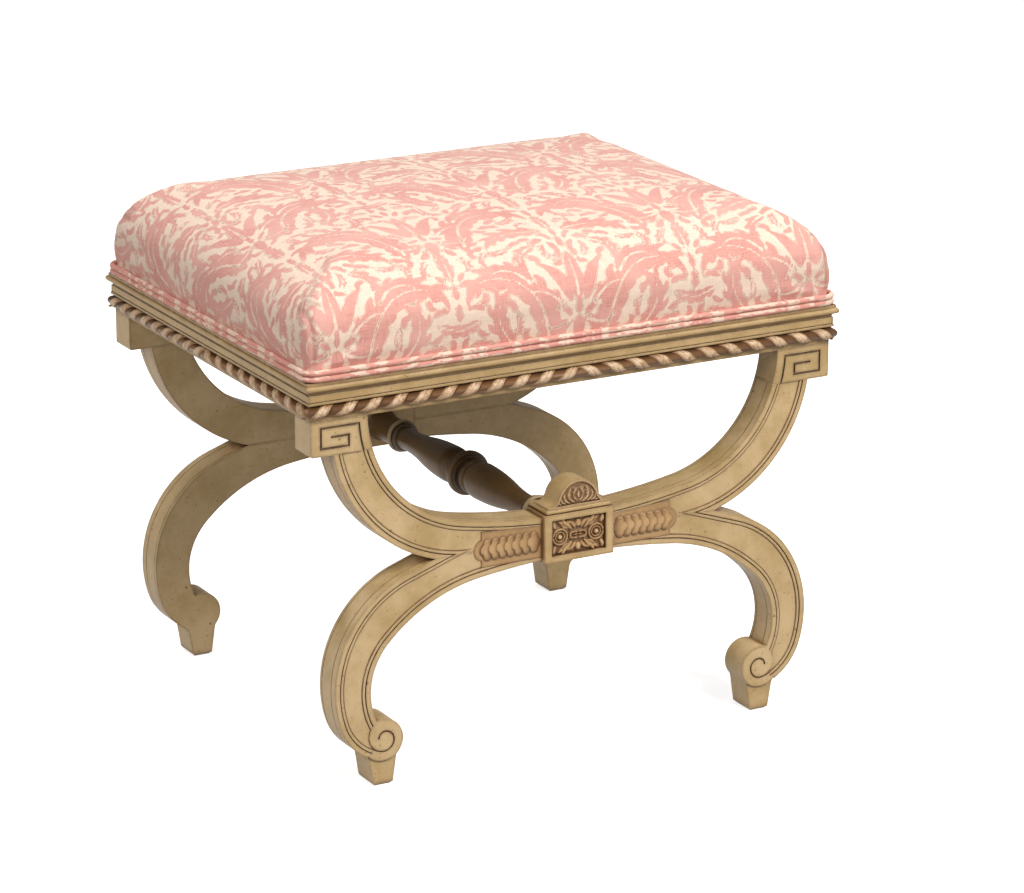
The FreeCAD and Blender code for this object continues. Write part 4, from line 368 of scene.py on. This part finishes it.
for end, turn in (("front", 0), ("back", pi)):
    for name, corners, inside, marks, floor_at, behind, stands_for in (
            ("carved_rosette_", ((-29.5, 202.3), (29.5, 237.7)), in_tablet, rosette_marks, 222.7, 222.55,
             "rosette_" + end),
            ("crest_leaves_", ((-25, 251.2), (25, 272.7)), in_crest, crest_marks, 224.05, 223.9, None)):
        carved = carving(name + end, *corners, inside, marks, floor_at, behind, relief_paint)
        carved.data.transform(Matrix.Rotation(turn, 4, "Z"))
        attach(carved, "root")
        if stands_for:
            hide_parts(stands_for)


# Scale panels: thin panels planted in the joint either side of each tablet, each with a run of seven
# three-lobed scales that overlap like tiles and point away from the tablet.
SCALE_PITCH, FIRST_SCALE, SCALES = 0.0084, 0.0486, 7


def face_outwards(made, weld=0):
    """Turns the faces outwards, after joining the points closer together than weld."""
    mesh = bmesh.new()
    mesh.from_mesh(made.data)
    if weld:
        bmesh.ops.remove_doubles(mesh, verts=mesh.verts, dist=weld)
    bmesh.ops.recalc_face_normals(mesh, faces=mesh.faces)
    mesh.to_mesh(made.data)
    mesh.free()


def scale_mesh(way):
    """One scale, tipped so that its lobed edge stands up and its root slides under the next one's edge."""
    sectors, rings = 40, 4
    angles = np.linspace(0, 2 * pi, sectors, endpoint=False)
    edge = np.zeros(sectors)
    for x, z, r in ((1.6, 0, 5.0), (-1.6, 6.2, 4.6), (-1.6, -6.2, 4.6), (-3.4, 0, 6)):
        along = x * np.cos(angles) + z * np.sin(angles)
        root = along ** 2 - x * x - z * z + r * r
        edge = np.maximum(edge, np.where(root > 0, along + np.sqrt(np.maximum(root, 0)), 0))
    points, faces = [], []
    for depth in range(rings + 2):
        part = min(depth, rings) / rings
        for angle, far in zip(angles, edge):
            x, z = part * far * np.cos(angle), part * far * np.sin(angle)
            tip = np.clip((x + 8) / 14, 0, 1)
            lift = 0.2 + 1.5 * tip + 0.5 * (1 - part ** 3) * tip if depth <= rings else -0.1
            points.append((way * x / 1000, -lift / 1000, way * z / 1000))
    for depth in range(rings + 1):
        for k in range(sectors):
            a, b = depth * sectors + k, depth * sectors + (k + 1) % sectors
            faces.append((a, b, b + sectors, a + sectors))
    faces.append(range((rings + 1) * sectors, (rings + 2) * sectors))
    faces.append(range(sectors - 1, -1, -1))
    made = piece("scale_pattern", points, faces, relief_paint)
    face_outwards(made, weld=1e-7)
    lifted = [float(np.clip(-v.co.y / 0.0027, 0, 0.74)) for v in made.data.vertices]
    set_raised(made, lifted)
    return made


def row_of_units():
    """Geometry Nodes: a row of one carved unit along X, set on the geometry given."""
    tree = bpy.data.node_groups.new("row_of_units", "GeometryNodeTree")
    tree.interface.new_socket("Geometry", in_out="INPUT", socket_type="NodeSocketGeometry")
    for label, kind in (("Unit", "Object"), ("Units", "Int"), ("First", "Vector"), ("Pitch", "Vector"),
                        ("Finish", "Material")):
        tree.interface.new_socket(label, in_out="INPUT", socket_type="NodeSocket" + kind)
    tree.interface.new_socket("Geometry", in_out="OUTPUT", socket_type="NodeSocketGeometry")
    given, link = tree.nodes.new("NodeGroupInput"), tree.links.new
    line, unit = tree.nodes.new("GeometryNodeMeshLine"), tree.nodes.new("GeometryNodeObjectInfo")
    put, join = tree.nodes.new("GeometryNodeInstanceOnPoints"), tree.nodes.new("GeometryNodeJoinGeometry")
    solid, coat = tree.nodes.new("GeometryNodeRealizeInstances"), tree.nodes.new("GeometryNodeSetMaterial")
    link(given.outputs["Units"], line.inputs["Count"])
    link(given.outputs["First"], line.inputs["Start Location"])
    link(given.outputs["Pitch"], line.inputs["Offset"])
    link(given.outputs["Unit"], unit.inputs["Object"])
    link(line.outputs[0], put.inputs["Points"])
    link(unit.outputs["Geometry"], put.inputs["Instance"])
    link(put.outputs[0], join.inputs[0])
    link(given.outputs["Geometry"], join.inputs[0])
    link(join.outputs[0], solid.inputs[0])
    link(solid.outputs[0], coat.inputs[0])
    link(given.outputs["Finish"], coat.inputs["Material"])
    link(coat.outputs[0], tree.nodes.new("NodeGroupOutput").inputs[0])
    return tree


row_tree = row_of_units()


def lay_row(made, **values):
    """Lays a row of units on a piece, with the tree's named inputs."""
    row = made.modifiers.new("row", "NODES")
    row.node_group = row_tree
    for item in row_tree.interface.items_tree:
        if item.item_type == "SOCKET" and item.in_out == "INPUT" and item.name in values:
            row[item.identifier] = values[item.name]


def settle(made):
    """Turns an object's modifiers into plain mesh."""
    mesh = bpy.data.meshes.new_from_object(made.evaluated_get(bpy.context.evaluated_depsgraph_get()))
    made.modifiers.clear()
    made.data = mesh
    return made


scales = {way: scale_mesh(way) for way in (1, -1)}
for end, turn in (("front", 0), ("back", pi)):
    for hand, way in (("right", 1), ("left", -1)):
        face = way if end == "front" else -way
        tongue = np.radians(np.linspace(-90, 90, 15))
        outline = [(38.3, 202.0), (104, 202.0), (104, 208.5)]
        outline += [(101.5 + 10.5 * np.cos(a), 219 + 10.5 * np.sin(a)) for a in tongue]
        outline += [(104, 229.5), (104, 237.5), (38.3, 233.5)]
        back = [(x * face / 1000, -0.2208, z / 1000) for x, z in outline]
        front = [(x * face / 1000, -0.2221, z / 1000) for x, z in outline]
        rim = len(outline)
        faces = [range(rim), range(2 * rim - 1, rim - 1, -1)]
        faces += [(k, rim + k, rim + (k + 1) % rim, (k + 1) % rim) for k in range(rim)]
        panel = piece(f"scaled_panel_{end}_{hand}", back + front, faces, relief_paint, smooth=False)
        face_outwards(panel)
        set_raised(panel, [0.4] * len(panel.data.vertices))
        last = FIRST_SCALE + (SCALES - 1) * SCALE_PITCH
        lay_row(panel, Unit=scales[face], Units=SCALES, First=(face * last, -0.2221, 0.219),
                Pitch=(-face * SCALE_PITCH, 0, 0), Finish=relief_paint)
        settle(panel)
        panel.data.transform(Matrix.Rotation(turn, 4, "Z"))
        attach(panel, "root")
        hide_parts(f"scale_panel_{end}_{hand}")
for pattern in scales.values():
    bpy.data.objects.remove(pattern)


# Seat rails: four moulded rails mitred at the corners, with a stepped band above the ribbon,
# painted a shade deeper than the frames and rubbed brown on the upper bead.
rail_paint = aged_paint("rail_paint", (198, 168, 120), (92, 62, 28), (230, 206, 168), groove=0.006, wear=0.85)
for side in ("front", "back", "left", "right"):
    node[f"rail_{side}"].data.materials.clear()
    node[f"rail_{side}"].data.materials.append(rail_paint)


# Ribbon mouldings: a round bead along each rail with a ribbon wound round it, carved in lime wood.
# The turns lean apart from the middle of each side; brown-pink glaze, rubbed pale on the ribbon.
ribbon_paint = aged_paint("ribbon_glaze", (190, 150, 108), (116, 78, 46), (232, 204, 172),
                          groove=0.003, wear=0.85, fleck=0.4, relief=True)
HALF_LONG, HALF_DEEP = 0.283, 0.2225
BEAD_HEIGHT, BEAD_RADIUS = 0.3823, 0.0053
TWIST_PITCH, TWIST_WIDTH, TWIST_LIFT = 0.0242, 0.0145, 0.0018


def twist_mesh(lean):
    """One turn of ribbon, lying along +X over a bead that faces -Y: a closed, fluted, slanting band."""
    across, around = 14, 9
    points, raised, faces = [], [], []
    for lift in (1, 0):
        for i in range(around + 1):
            angle = radians(-12 + 204 * i / around)
            taper = np.sin(pi * (i + 0.6) / (around + 1.2)) ** 0.5
            for j in range(across + 1):
                b = -1 + 2 * j / across
                flat = (1 - abs(b) ** 5) ** 0.5
                flute = 0.16 * np.cos(b * 3.4 * pi) * (1 - b * b)
                rise = (flat - flute) * taper
                radius = BEAD_RADIUS + (TWIST_LIFT * rise - 0.0003 if lift else -0.0012)
                along = (lean * ((angle - pi / 2) * 0.0062 + 0.0008 * np.sin(2 * angle))
                         + b * TWIST_WIDTH / 2 * (0.7 + 0.3 * taper))
                points.append((along, -radius * np.sin(angle) * 1.16, radius * np.cos(angle)))
                raised.append(float(np.clip(0.25 + 0.7 * rise, 0, 1)) if lift else 0)
    row, sheet = across + 1, (around + 1) * (across + 1)
    for i in range(around):
        for j in range(across):
            a = i * row + j
            faces += [(a, a + 1, a + row + 1, a + row),
                      (sheet + a, sheet + a + row, sheet + a + row + 1, sheet + a + 1)]
    edge = ([j for j in range(row)] + [i * row + across for i in range(1, around + 1)]
            + [around * row + j for j in range(across - 1, -1, -1)] + [i * row for i in range(around - 1, 0, -1)])
    for one, two in zip(edge, edge[1:] + edge[:1]):
        faces.append((two, one, sheet + one, sheet + two))
    made = piece("twist_pattern", points, faces, ribbon_paint)
    set_raised(made, raised)
    return made


twists = {way: twist_mesh(way) for way in (1, -1)}
for side, turn, length, depth in (("front", 0, HALF_LONG, HALF_DEEP), ("back", pi, HALF_LONG, HALF_DEEP),
                                  ("right", pi / 2, HALF_DEEP, HALF_LONG), ("left", -pi / 2, HALF_DEEP, HALF_LONG)):
    count = int(length // TWIST_PITCH)
    pitch = (length + 0.004) / count
    around, points, faces = 12, [], []
    for way in (-1, 1):
        for i in range(around):
            angle = radians(-14 + 208 * i / (around - 1))
            out = BEAD_RADIUS * np.sin(angle) * 1.16
            points.append((way * (length + out), -out, BEAD_RADIUS * np.cos(angle)))
    for i in range(around):
        faces.append((i, (i + 1) % around, around + (i + 1) % around, around + i))
    faces += [range(around - 1, -1, -1), range(around, 2 * around)]
    ribbon = piece("wound_ribbon_" + side, points, faces, ribbon_paint)
    for way in (1, -1):
        lay_row(ribbon, Unit=twists[way], Units=count, First=(way * pitch / 2, 0, 0),
                Pitch=(way * pitch, 0, 0), Finish=ribbon_paint)
    settle(ribbon)
    ribbon.data.transform(Matrix.Rotation(turn, 4, "Z") @ Matrix.Translation((0, -depth, BEAD_HEIGHT)))
    ribbon.data.polygons.foreach_set("use_smooth", [True] * len(ribbon.data.polygons))
    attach(ribbon, "root")
    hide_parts("ribbon_" + side)
for pattern in twists.values():
    bpy.data.objects.remove(pattern)


# Stretcher: one turned baluster rod between the two centre blocks, in walnut brown over beech,
# with the paint's cream rubbed on to the sharp edges of its rings.
turned = aged_paint("turned_walnut", (112, 84, 46), (34, 22, 12), (176, 146, 98), groove=0.008, wear=0.9, fleck=0.6,
                    band=(0.1402, 0.1466))
node["stretcher"].data.materials.clear()
node["stretcher"].data.materials.append(turned)


# Inside: glued corner blocks and dowels of bare beech, four steel screws and the plywood deck.
# None is painted; they show only from below, and behind the dust cover not at all.
def bare_wood(name, light, dark, ring, grain):
    wood = Finish(name, roughness=0.7)
    rings = wood.noise(ring, 3, 0.5, stretch=(0.12, 1, 1))
    pores = wood.noise(grain, 4, 0.7, stretch=(0.06, 1, 1))
    colour = wood.mix(wood.step(rings, 0.35, 0.65), tone(*light), tone(*dark))
    colour = wood.mix(wood.sum("MULTIPLY", wood.step(pores, 0.55, 0.8), 0.5), colour, tone(*[c * 0.7 for c in dark]))
    return wood.done(colour, wood.bump(pores, 0.0002))


beech = bare_wood("bare_beech", (206, 168, 122), (184, 142, 98), 0.01, 0.0016)
birch_ply = bare_wood("birch_plywood", (214, 184, 140), (196, 160, 114), 0.03, 0.002)
for name in ("waist_dowels", "arm_dowels", "rail_dowels", "centre_dowels", "corner_block_front_right",
             "corner_block_front_left", "corner_block_back_right", "corner_block_back_left"):
    node[name].data.materials.clear()
    node[name].data.materials.append(beech)
node["seat_deck"].data.materials.clear()
node["seat_deck"].data.materials.append(birch_ply)
steel = Finish("screw_steel", roughness=0.35)
steel.shader.inputs["Metallic"].default_value = 1
steel_marks = steel.noise(0.0012, 3, stretch=(1, 1, 0.1))
node["deck_screws"].data.materials.clear()
node["deck_screws"].data.materials.append(steel.done(
    steel.mix(steel_marks, tone(150, 148, 144), tone(182, 180, 176)), steel.bump(steel_marks, 0.0001)))


# Seat cushion: a foam pad on the deck under one piece of printed linen, pulled down over the sides
# and folded at the corners. The print is a mirrored scroll and leaf damask, rose on natural cream.
SKIRT_LOW, SKIRT_TOP, SWELL_HEIGHT, SHOULDER, CROWN = 0.4115, 0.424, 0.450, 0.061, 0.5185


def seat_height(x, y):
    """Height of the crowned top over a place in plan, before it turns down over the shoulder."""
    return CROWN - 0.0075 * ((abs(x) / 0.230) ** 3 + (abs(y) / 0.169) ** 3) ** (2 / 3)


def seat_rings():
    """Rings of the cushion from its lower edge up over the shoulder and in to the middle: out, height, corner."""
    rings = [(0.0004, SKIRT_LOW, 0.010), (0.0006, 0.418, 0.010), (0.0009, SKIRT_TOP, 0.010), (0.0030, 0.430, 0.012),
             (0.0047, 0.437, 0.014), (0.0056, 0.4435, 0.016)]
    for angle in range(0, 91, 9):
        out = 0.0058 - SHOULDER * (1 - np.cos(radians(angle)))
        rings.append((out, np.sin(radians(angle)), max(0.004, 0.0175 + 0.55 * out)))
    return rings + [(out, 1, 0.004) for out in (-0.07, -0.1, -0.14, -0.18, -0.2185)]


def rounded_ring(half_long, half_deep, corner, count=28):
    """Points round a rounded rectangle in plan, the same number for any size."""
    points = []
    for sx, sy, start in ((1, 1, 0), (-1, 1, 90), (-1, -1, 180), (1, -1, 270)):
        for k in range(count):
            angle = radians(start + 90 * k / (count - 1))
            points.append((sx * (half_long - corner) + corner * np.cos(angle),
                           sy * (half_deep - corner) + corner * np.sin(angle)))
    return points


cushion_points, cushion_faces = [], []
for level, (out, z, corner) in enumerate(seat_rings()):
    for x, y in rounded_ring(HALF_LONG + out, HALF_DEEP + out, corner):
        height = z if level < 6 else SWELL_HEIGHT + (seat_height(x, y) - SWELL_HEIGHT) * z
        cushion_points.append((x, y, height))
count = 28 * 4
levels = len(cushion_points) // count
for level in range(levels - 1):
    for k in range(count):
        a, b = level * count + k, level * count + (k + 1) % count
        cushion_faces.append((a, b, b + count, a + count))
cushion_faces += [range(count - 1, -1, -1), range((levels - 1) * count, levels * count)]

linen = Finish("rose_damask_linen", roughness=0.85)
cushion = piece("seat_cushion", cushion_points, cushion_faces, linen.material)
remesh = cushion.modifiers.new("remesh", "REMESH")
remesh.mode, remesh.voxel_size = "VOXEL", 0.005
settle(cushion)

start = np.array([v.co for v in cushion.data.vertices])
held = cushion.vertex_groups.new(name="held")
held.add([int(k) for k in np.nonzero(start[:, 2] < 0.4265)[0]], 1, "REPLACE")
cloth = cushion.modifiers.new("cloth", "CLOTH")
cloth.settings.uniform_pressure_force = 4
cloth.settings.use_pressure = True
cloth.settings.vertex_group_mass = "held"
cloth.settings.effector_weights.gravity = 0
cloth.settings.quality = 5
cloth.settings.tension_stiffness = cloth.settings.compression_stiffness = 25
cloth.settings.bending_stiffness = 3
cloth.point_cache.frame_start, cloth.point_cache.frame_end = 1, 20
for tick in range(1, 21):
    bpy.context.scene.frame_set(tick)
swollen = bpy.data.meshes.new_from_object(cushion.evaluated_get(bpy.context.evaluated_depsgraph_get()))
end = np.array([v.co for v in swollen.vertices])
cushion.modifiers.clear()
move = end - start
far = np.linalg.norm(move, axis=1, keepdims=True)
end = start + move * np.minimum(1, 0.0028 / np.maximum(far, 1e-9))
cushion.data.vertices.foreach_set("co", end.astype(np.float32).ravel())
bpy.context.scene.frame_set(1)
smooth = cushion.modifiers.new("smooth", "SUBSURF")
smooth.levels = smooth.render_levels = 1
settle(cushion)

# The spare cloth at each corner is folded under along an upright pleat on the front or back face,
# with two small puckers where the pleat runs out over the shoulder.
co = np.array([v.co for v in cushion.data.vertices])
across, up = np.abs(co[:, 0]) - 0.2780, co[:, 2]
fade = np.clip((up - 0.422) / 0.006, 0, 1) * np.clip((0.492 - up) / 0.018, 0, 1) * (np.abs(co[:, 1]) > 0.19)
pleat_crease_and_shade = np.exp(-(across / 0.0019) ** 2) * fade
lip = np.exp(-((across - 0.0046) / 0.0026) ** 2) * fade
for low, slope in ((0.484, 0.35), (0.478, -0.2)):
    line = (up - low) - slope * across
    pleat_crease_and_shade += 0.6 * np.exp(-(line / 0.0018) ** 2 - ((across + 0.006) / 0.008) ** 2) * (np.abs(co[:, 1]) > 0.19)
co[:, 1] += np.sign(co[:, 1]) * (0.0009 * lip - 0.0021 * pleat_crease_and_shade)
cushion.data.vertices.foreach_set("co", co.astype(np.float32).ravel())
# The crease is also stored on the points, for painted shade along the pleats and puckers.
cushion.data.attributes.new("pleat_crease_and_shade", "FLOAT", "POINT").data.foreach_set("value", pleat_crease_and_shade.astype(np.float32))

# The print: motifs drawn as round dabs in one half of the repeat, in metres on the flat cloth.
PRINT_HALF, PRINT_UP = 0.128, 0.236


def leaf(start, heading, length, width, curl, lobes=0):
    """A printed leaf as dabs (u, v, radius): a swelling blade, lobes on its outer edge and teeth on its inner."""
    steps = max(14, int(length * 480))
    centres, turn = stem(start, heading, length, curl, 1.0, steps)
    t = np.linspace(0, 1, steps)
    swell = np.sin(pi * t ** 0.72) ** 0.75
    dabs = [np.c_[centres, width * swell * (0.66 if lobes else 1) + 0.0007]]
    outer = -np.sign(curl) if curl else 1
    for k in range(lobes):
        at = int(steps * (0.06 + 0.82 * (k + 0.5) / lobes))
        size = width * (0.35 + 0.65 * swell[at])
        side = np.array([-np.sin(turn[at]), np.cos(turn[at])])
        for hand, reach, fat in ((outer, 1.5, 0.48), (-outer, 1.0, 0.34)):
            tip, _ = stem(centres[at] + side * hand * size * 0.35, np.degrees(turn[at]) + hand * 66, size * reach,
                          -hand * 80, 0.3, 9)
            dabs.append(np.c_[tip, size * fat * np.linspace(1, 0.3, 9)])
    return np.concatenate(dabs)


def vein(start, heading, length, curl, width=0.0013):
    """The unprinted line left down the middle of a leaf."""
    centres, _ = stem(start, heading, length, curl, 1.0, max(14, int(length * 700)))
    centres = centres[int(len(centres) * 0.06):int(len(centres) * 0.80)]
    return np.c_[centres, np.linspace(width * 1.4, width * 0.5, len(centres))]


leaves = []
for line, base, hand in ((0, 0.030, 1), (PRINT_HALF, 0.030 + PRINT_UP / 2, -1)):
    for out, up, heading, length, width, curl, lobes in (
            (0, 0.010, 90, 0.056, 0.0072, 0, 0), (0.007, 0.008, 72, 0.054, 0.0056, -36, 0),
            (0.014, 0.002, 50, 0.056, 0.0062, -100, 2),
            (0, 0.074, 90, 0.016, 0.0026, 0, 0), (0.006, 0.071, 60, 0.015, 0.0024, 0, 0),
            (0, -0.008, 270, 0.024, 0.0056, 0, 0),
            (0.006, -0.010, -28, 0.056, 0.0082, 190, 3), (0.030, -0.034, 80, 0.150, 0.0145, -165, 7),
            (0.046, 0.028, 58, 0.074, 0.0088, -205, 4)):
        leaves.append(((line + hand * out, base + up), heading if hand > 0 else 180 - heading,
                       length, width, hand * curl, lobes))
printed = np.concatenate([leaf(*one) for one in leaves])
veins = [vein(*one[:3], one[4]) for one in leaves if one[3] > 0.006]


def repeated(dabs):
    """The dabs again above and below, and mirrored over both edges of the half repeat."""
    whole = np.concatenate([dabs + [0, k * PRINT_UP, 0] for k in (-1, 0, 1)])
    whole = np.concatenate([whole, whole * [-1, 1, 1], whole * [-1, 1, 1] + [2 * PRINT_HALF, 0, 0]])
    reach = 0.03
    keep = ((whole[:, 0] > -reach) & (whole[:, 0] < PRINT_HALF + reach)
            & (whole[:, 1] > -reach) & (whole[:, 1] < PRINT_UP + reach))
    return whole[keep].astype(np.float32)


def nearest(places, dabs):
    """Distance from each place to the nearest dab's edge, less than 0 inside one."""
    best = np.full(len(places), 1.0, np.float32)
    for k in range(0, len(dabs), 48):
        some = dabs[k:k + 48]
        gap = np.hypot(places[:, None, 0] - some[None, :, 0], places[:, None, 1] - some[None, :, 1]) - some[None, :, 2]
        best = np.minimum(best, gap.min(1))
    return best


# Smaller leaves and buds fill whatever cloth is left bare, the widest gaps first.
luck = np.random.default_rng(11)
bare_u, bare_v = [g.ravel() for g in np.meshgrid(np.arange(0.001, PRINT_HALF, 0.002), np.arange(0, PRINT_UP, 0.002))]
bare = np.c_[bare_u, bare_v].astype(np.float32)
room = nearest(bare, repeated(printed))
for turn in range(90):
    at = int(room.argmax())
    width = float(room[at])
    if width < 0.0058:
        break
    u, v = bare[at]
    heading, curl = float(luck.uniform(0, 360)), float(luck.choice([-1, 1]) * luck.uniform(60, 170))
    if min(u, PRINT_HALF - u) < 0.0035:
        u, heading, curl = (0 if u < PRINT_HALF / 2 else PRINT_HALF), 90, 0
    long, blade_width = width * 2.1, width * (0.34 if width < 0.011 else 0.27)
    start = (u - np.cos(radians(heading)) * long * 0.42, v - np.sin(radians(heading)) * long * 0.42)
    grown = leaf(start, heading, long, blade_width, curl, 4 if width > 0.011 else 2 if width > 0.008 else 0)
    if width > 0.011:
        veins.append(vein(start, heading, long, curl, 0.0011))
    printed = np.concatenate([printed, grown])
    room = np.minimum(room, nearest(bare, repeated(np.concatenate([grown, [[u, v, 0.001]]]))))
veins = np.concatenate(veins)


co = np.array([v.co for v in cushion.data.vertices])
TURN = 0.055
side_line = np.array([(0.007 - 0.062 * (1 - np.sin(radians(a))), 0.450 + 0.063 * np.cos(radians(a)))
                      for a in range(0, 91, 10)]
                     + [(0.0065, 0.442), (0.004, 0.433), (0.0012, 0.425), (0.001, 0.411)])
run = np.r_[0, np.cumsum(np.linalg.norm(np.diff(side_line, axis=0), axis=1))]
over_x = np.abs(co[:, 0]) - (HALF_LONG - TURN)
over_y = np.abs(co[:, 1]) - (HALF_DEEP - TURN)


def hang(over, z):
    """How far a place on a side lies out from the top's edge, measured along the cloth."""
    spots = np.c_[over - TURN, z]
    fine_s = np.linspace(0, run[-1], 160)
    fine = np.c_[np.interp(fine_s, run, side_line[:, 0]), np.interp(fine_s, run, side_line[:, 1])]
    gap = ((spots[:, None, :] - fine[None]) ** 2).sum(2)
    return fine_s[gap.argmin(1)]


reach = hang(np.maximum(over_x, over_y), co[:, 2])
on_long = over_x > over_y
cloth_u = np.where((over_x > 0) & on_long, np.sign(co[:, 0]) * (HALF_LONG - TURN + reach), co[:, 0])
cloth_v = np.where((over_y > 0) & ~on_long, np.sign(co[:, 1]) * (HALF_DEEP - TURN + reach), co[:, 1])
cell = np.floor(cloth_u / (2 * PRINT_HALF))
folded = np.abs(cloth_u - (cell + 0.5) * 2 * PRINT_HALF + PRINT_HALF)
folded = np.where(folded > PRINT_HALF, 2 * PRINT_HALF - folded, folded)
places = np.c_[folded, np.mod(cloth_v + 0.30, PRINT_UP)].astype(np.float32)
ink = np.maximum(nearest(places, repeated(printed)), -nearest(places, repeated(veins)))
for name, values in (("ink", ink * 1000), ("cloth_u", cloth_u), ("cloth_v", cloth_v)):
    cushion.data.attributes.new(name, "FLOAT", "POINT").data.foreach_set("value", values.astype(np.float32))

ink_here = linen.node("ShaderNodeAttribute", attribute_name="ink").outputs["Fac"]
on_cloth = linen.node("ShaderNodeCombineXYZ", {
    "X": linen.node("ShaderNodeAttribute", attribute_name="cloth_u").outputs["Fac"],
    "Y": linen.node("ShaderNodeAttribute", attribute_name="cloth_v").outputs["Fac"]}).outputs[0]
ragged = linen.sum("MULTIPLY", linen.noise(0.004, 2, at=on_cloth), 1.3)
edge_here = linen.sum("ADD", ink_here, linen.sum("SUBTRACT", ragged, 0.65))
inked = linen.less(linen.step(edge_here, -0.35, 0.45))
warp = linen.noise(0.0011, 2, 0.6, at=on_cloth, stretch=(1, 0.08, 1))
weft = linen.noise(0.0011, 2, 0.6, at=on_cloth, stretch=(0.08, 1, 1))
threads = linen.sum("ADD", warp, weft)
faded = linen.noise(0.05, 3, at=on_cloth)
ground = linen.mix(linen.step(threads, 0.7, 1.3), tone(234, 206, 186), tone(246, 222, 204))
rose = linen.mix(linen.step(threads, 0.7, 1.3), tone(212, 144, 132), tone(230, 170, 158))
rose = linen.mix(linen.step(faded, 0.35, 0.75), rose, tone(230, 174, 162))
colour = linen.mix(inked, ground, rose)
line = linen.sum("MULTIPLY", linen.step(edge_here, 0.3, 0.6), linen.less(linen.step(edge_here, 0.9, 1.3)))
line = linen.sum("MULTIPLY", line, linen.step(linen.noise(0.02, 2, at=on_cloth), 0.46, 0.56))
colour = linen.mix(linen.sum("MULTIPLY", line, 0.6), colour, tone(170, 120, 100))
# Painted shade: the pleat creases and puckers are darkened towards brown, standing in for the shade inside them.
folded = linen.node("ShaderNodeAttribute", attribute_name="pleat_crease_and_shade").outputs["Fac"]
colour = linen.mix(linen.sum("MULTIPLY", folded, 0.5), colour, tone(150, 100, 84))
linen.done(colour, linen.bump(threads, 0.00018))
linen.shader.inputs["Sheen Weight"].default_value = 0.15
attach(cushion, "root")
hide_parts("seat_cover", "foam_pad")


# Double welt: two cords covered with strips cut on the cross from the same print and sewn together,
# glued round the foot of the cushion so that they cover the tacks.
WELT_RADIUS, WELT_OUT, WELT_CORNER = 0.00285, 0.00445, 0.012
welt_linen = Finish("welt_linen", roughness=0.85)
strip = welt_linen.node("ShaderNodeUVMap", uv_map="strip").outputs[0]
patch = welt_linen.noise(0.016, 2, 0.6, at=strip, stretch=(1, 1.6, 1))
weave = welt_linen.noise(0.0012, 2, at=strip, stretch=(1, 0.3, 1))
patched = welt_linen.step(patch, 0.46, 0.5)
colour = welt_linen.mix(patched, tone(242, 212, 192), tone(224, 158, 144))
colour = welt_linen.mix(welt_linen.sum("MULTIPLY", welt_linen.step(weave, 0.5, 0.8), 0.3), colour, tone(214, 160, 142))
welt_linen.done(colour, welt_linen.bump(weave, 0.0003))


def cord_ring(name, height):
    """A closed round cord along a rounded rectangle, with its length and girth as a UV map."""
    path = []
    for x, y in rounded_ring(HALF_LONG + WELT_OUT, HALF_DEEP + WELT_OUT, WELT_CORNER, 9):
        path.append((x, y))
    dense = []
    for one, two in zip(path, path[1:] + path[:1]):
        parts = max(1, int(np.hypot(two[0] - one[0], two[1] - one[1]) / 0.004))
        dense += [(one[0] + (two[0] - one[0]) * k / parts, one[1] + (two[1] - one[1]) * k / parts)
                  for k in range(parts)]
    track = np.array(dense)
    ahead = np.roll(track, -1, 0) - np.roll(track, 1, 0)
    ahead /= np.linalg.norm(ahead, axis=1, keepdims=True)
    outward = np.c_[ahead[:, 1], -ahead[:, 0]]
    length = np.r_[0, np.cumsum(np.linalg.norm(np.diff(np.r_[track, track[:1]], axis=0), axis=1))]
    girth, points = 10, []
    for k, (spot, out) in enumerate(zip(track, outward)):
        plump = 1 + 0.05 * np.sin(length[k] * 210) * np.sin(length[k] * 77 + 1)
        for g in range(girth):
            angle = 2 * pi * g / girth
            r = WELT_RADIUS * (plump if abs(np.cos(angle)) > 0.3 else 1)
            points.append((spot[0] + out[0] * r * np.cos(angle), spot[1] + out[1] * r * np.cos(angle),
                           height + r * np.sin(angle)))
    steps = len(track)
    faces = [(k * girth + g, ((k + 1) % steps) * girth + g,
              ((k + 1) % steps) * girth + (g + 1) % girth, k * girth + (g + 1) % girth)
             for k in range(steps) for g in range(girth)]
    cord = piece(name, points, faces, welt_linen.material)
    layer = cord.data.uv_layers.new(name="strip")
    for face in cord.data.polygons:
        k, g = divmod(face.index, girth)
        for corner, (dk, dg) in zip(face.loop_indices, ((0, 0), (1, 0), (1, 1), (0, 1))):
            layer.data[corner].uv = (length[k + dk], (g + dg) * WELT_RADIUS * 2 * pi / girth)
    return cord


for name, height in (("welt_lower", 0.41415), ("welt_upper", 0.42015)):
    cord = cord_ring("covered_" + name, height)
    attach(cord, "root")
    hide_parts(name)


# Dust cover: thin black cloth tacked under the rails, cut out round the key blocks.
cambric = Finish("dust_cambric", roughness=0.95)
fine = cambric.noise(0.0012, 2, stretch=(1, 0.1, 1))
node["dust_cover"].data.materials.clear()
black = cambric.mix(fine, tone(34, 33, 32), tone(52, 50, 48))
node["dust_cover"].data.materials.append(cambric.done(black, cambric.bump(fine, 0.0002)))
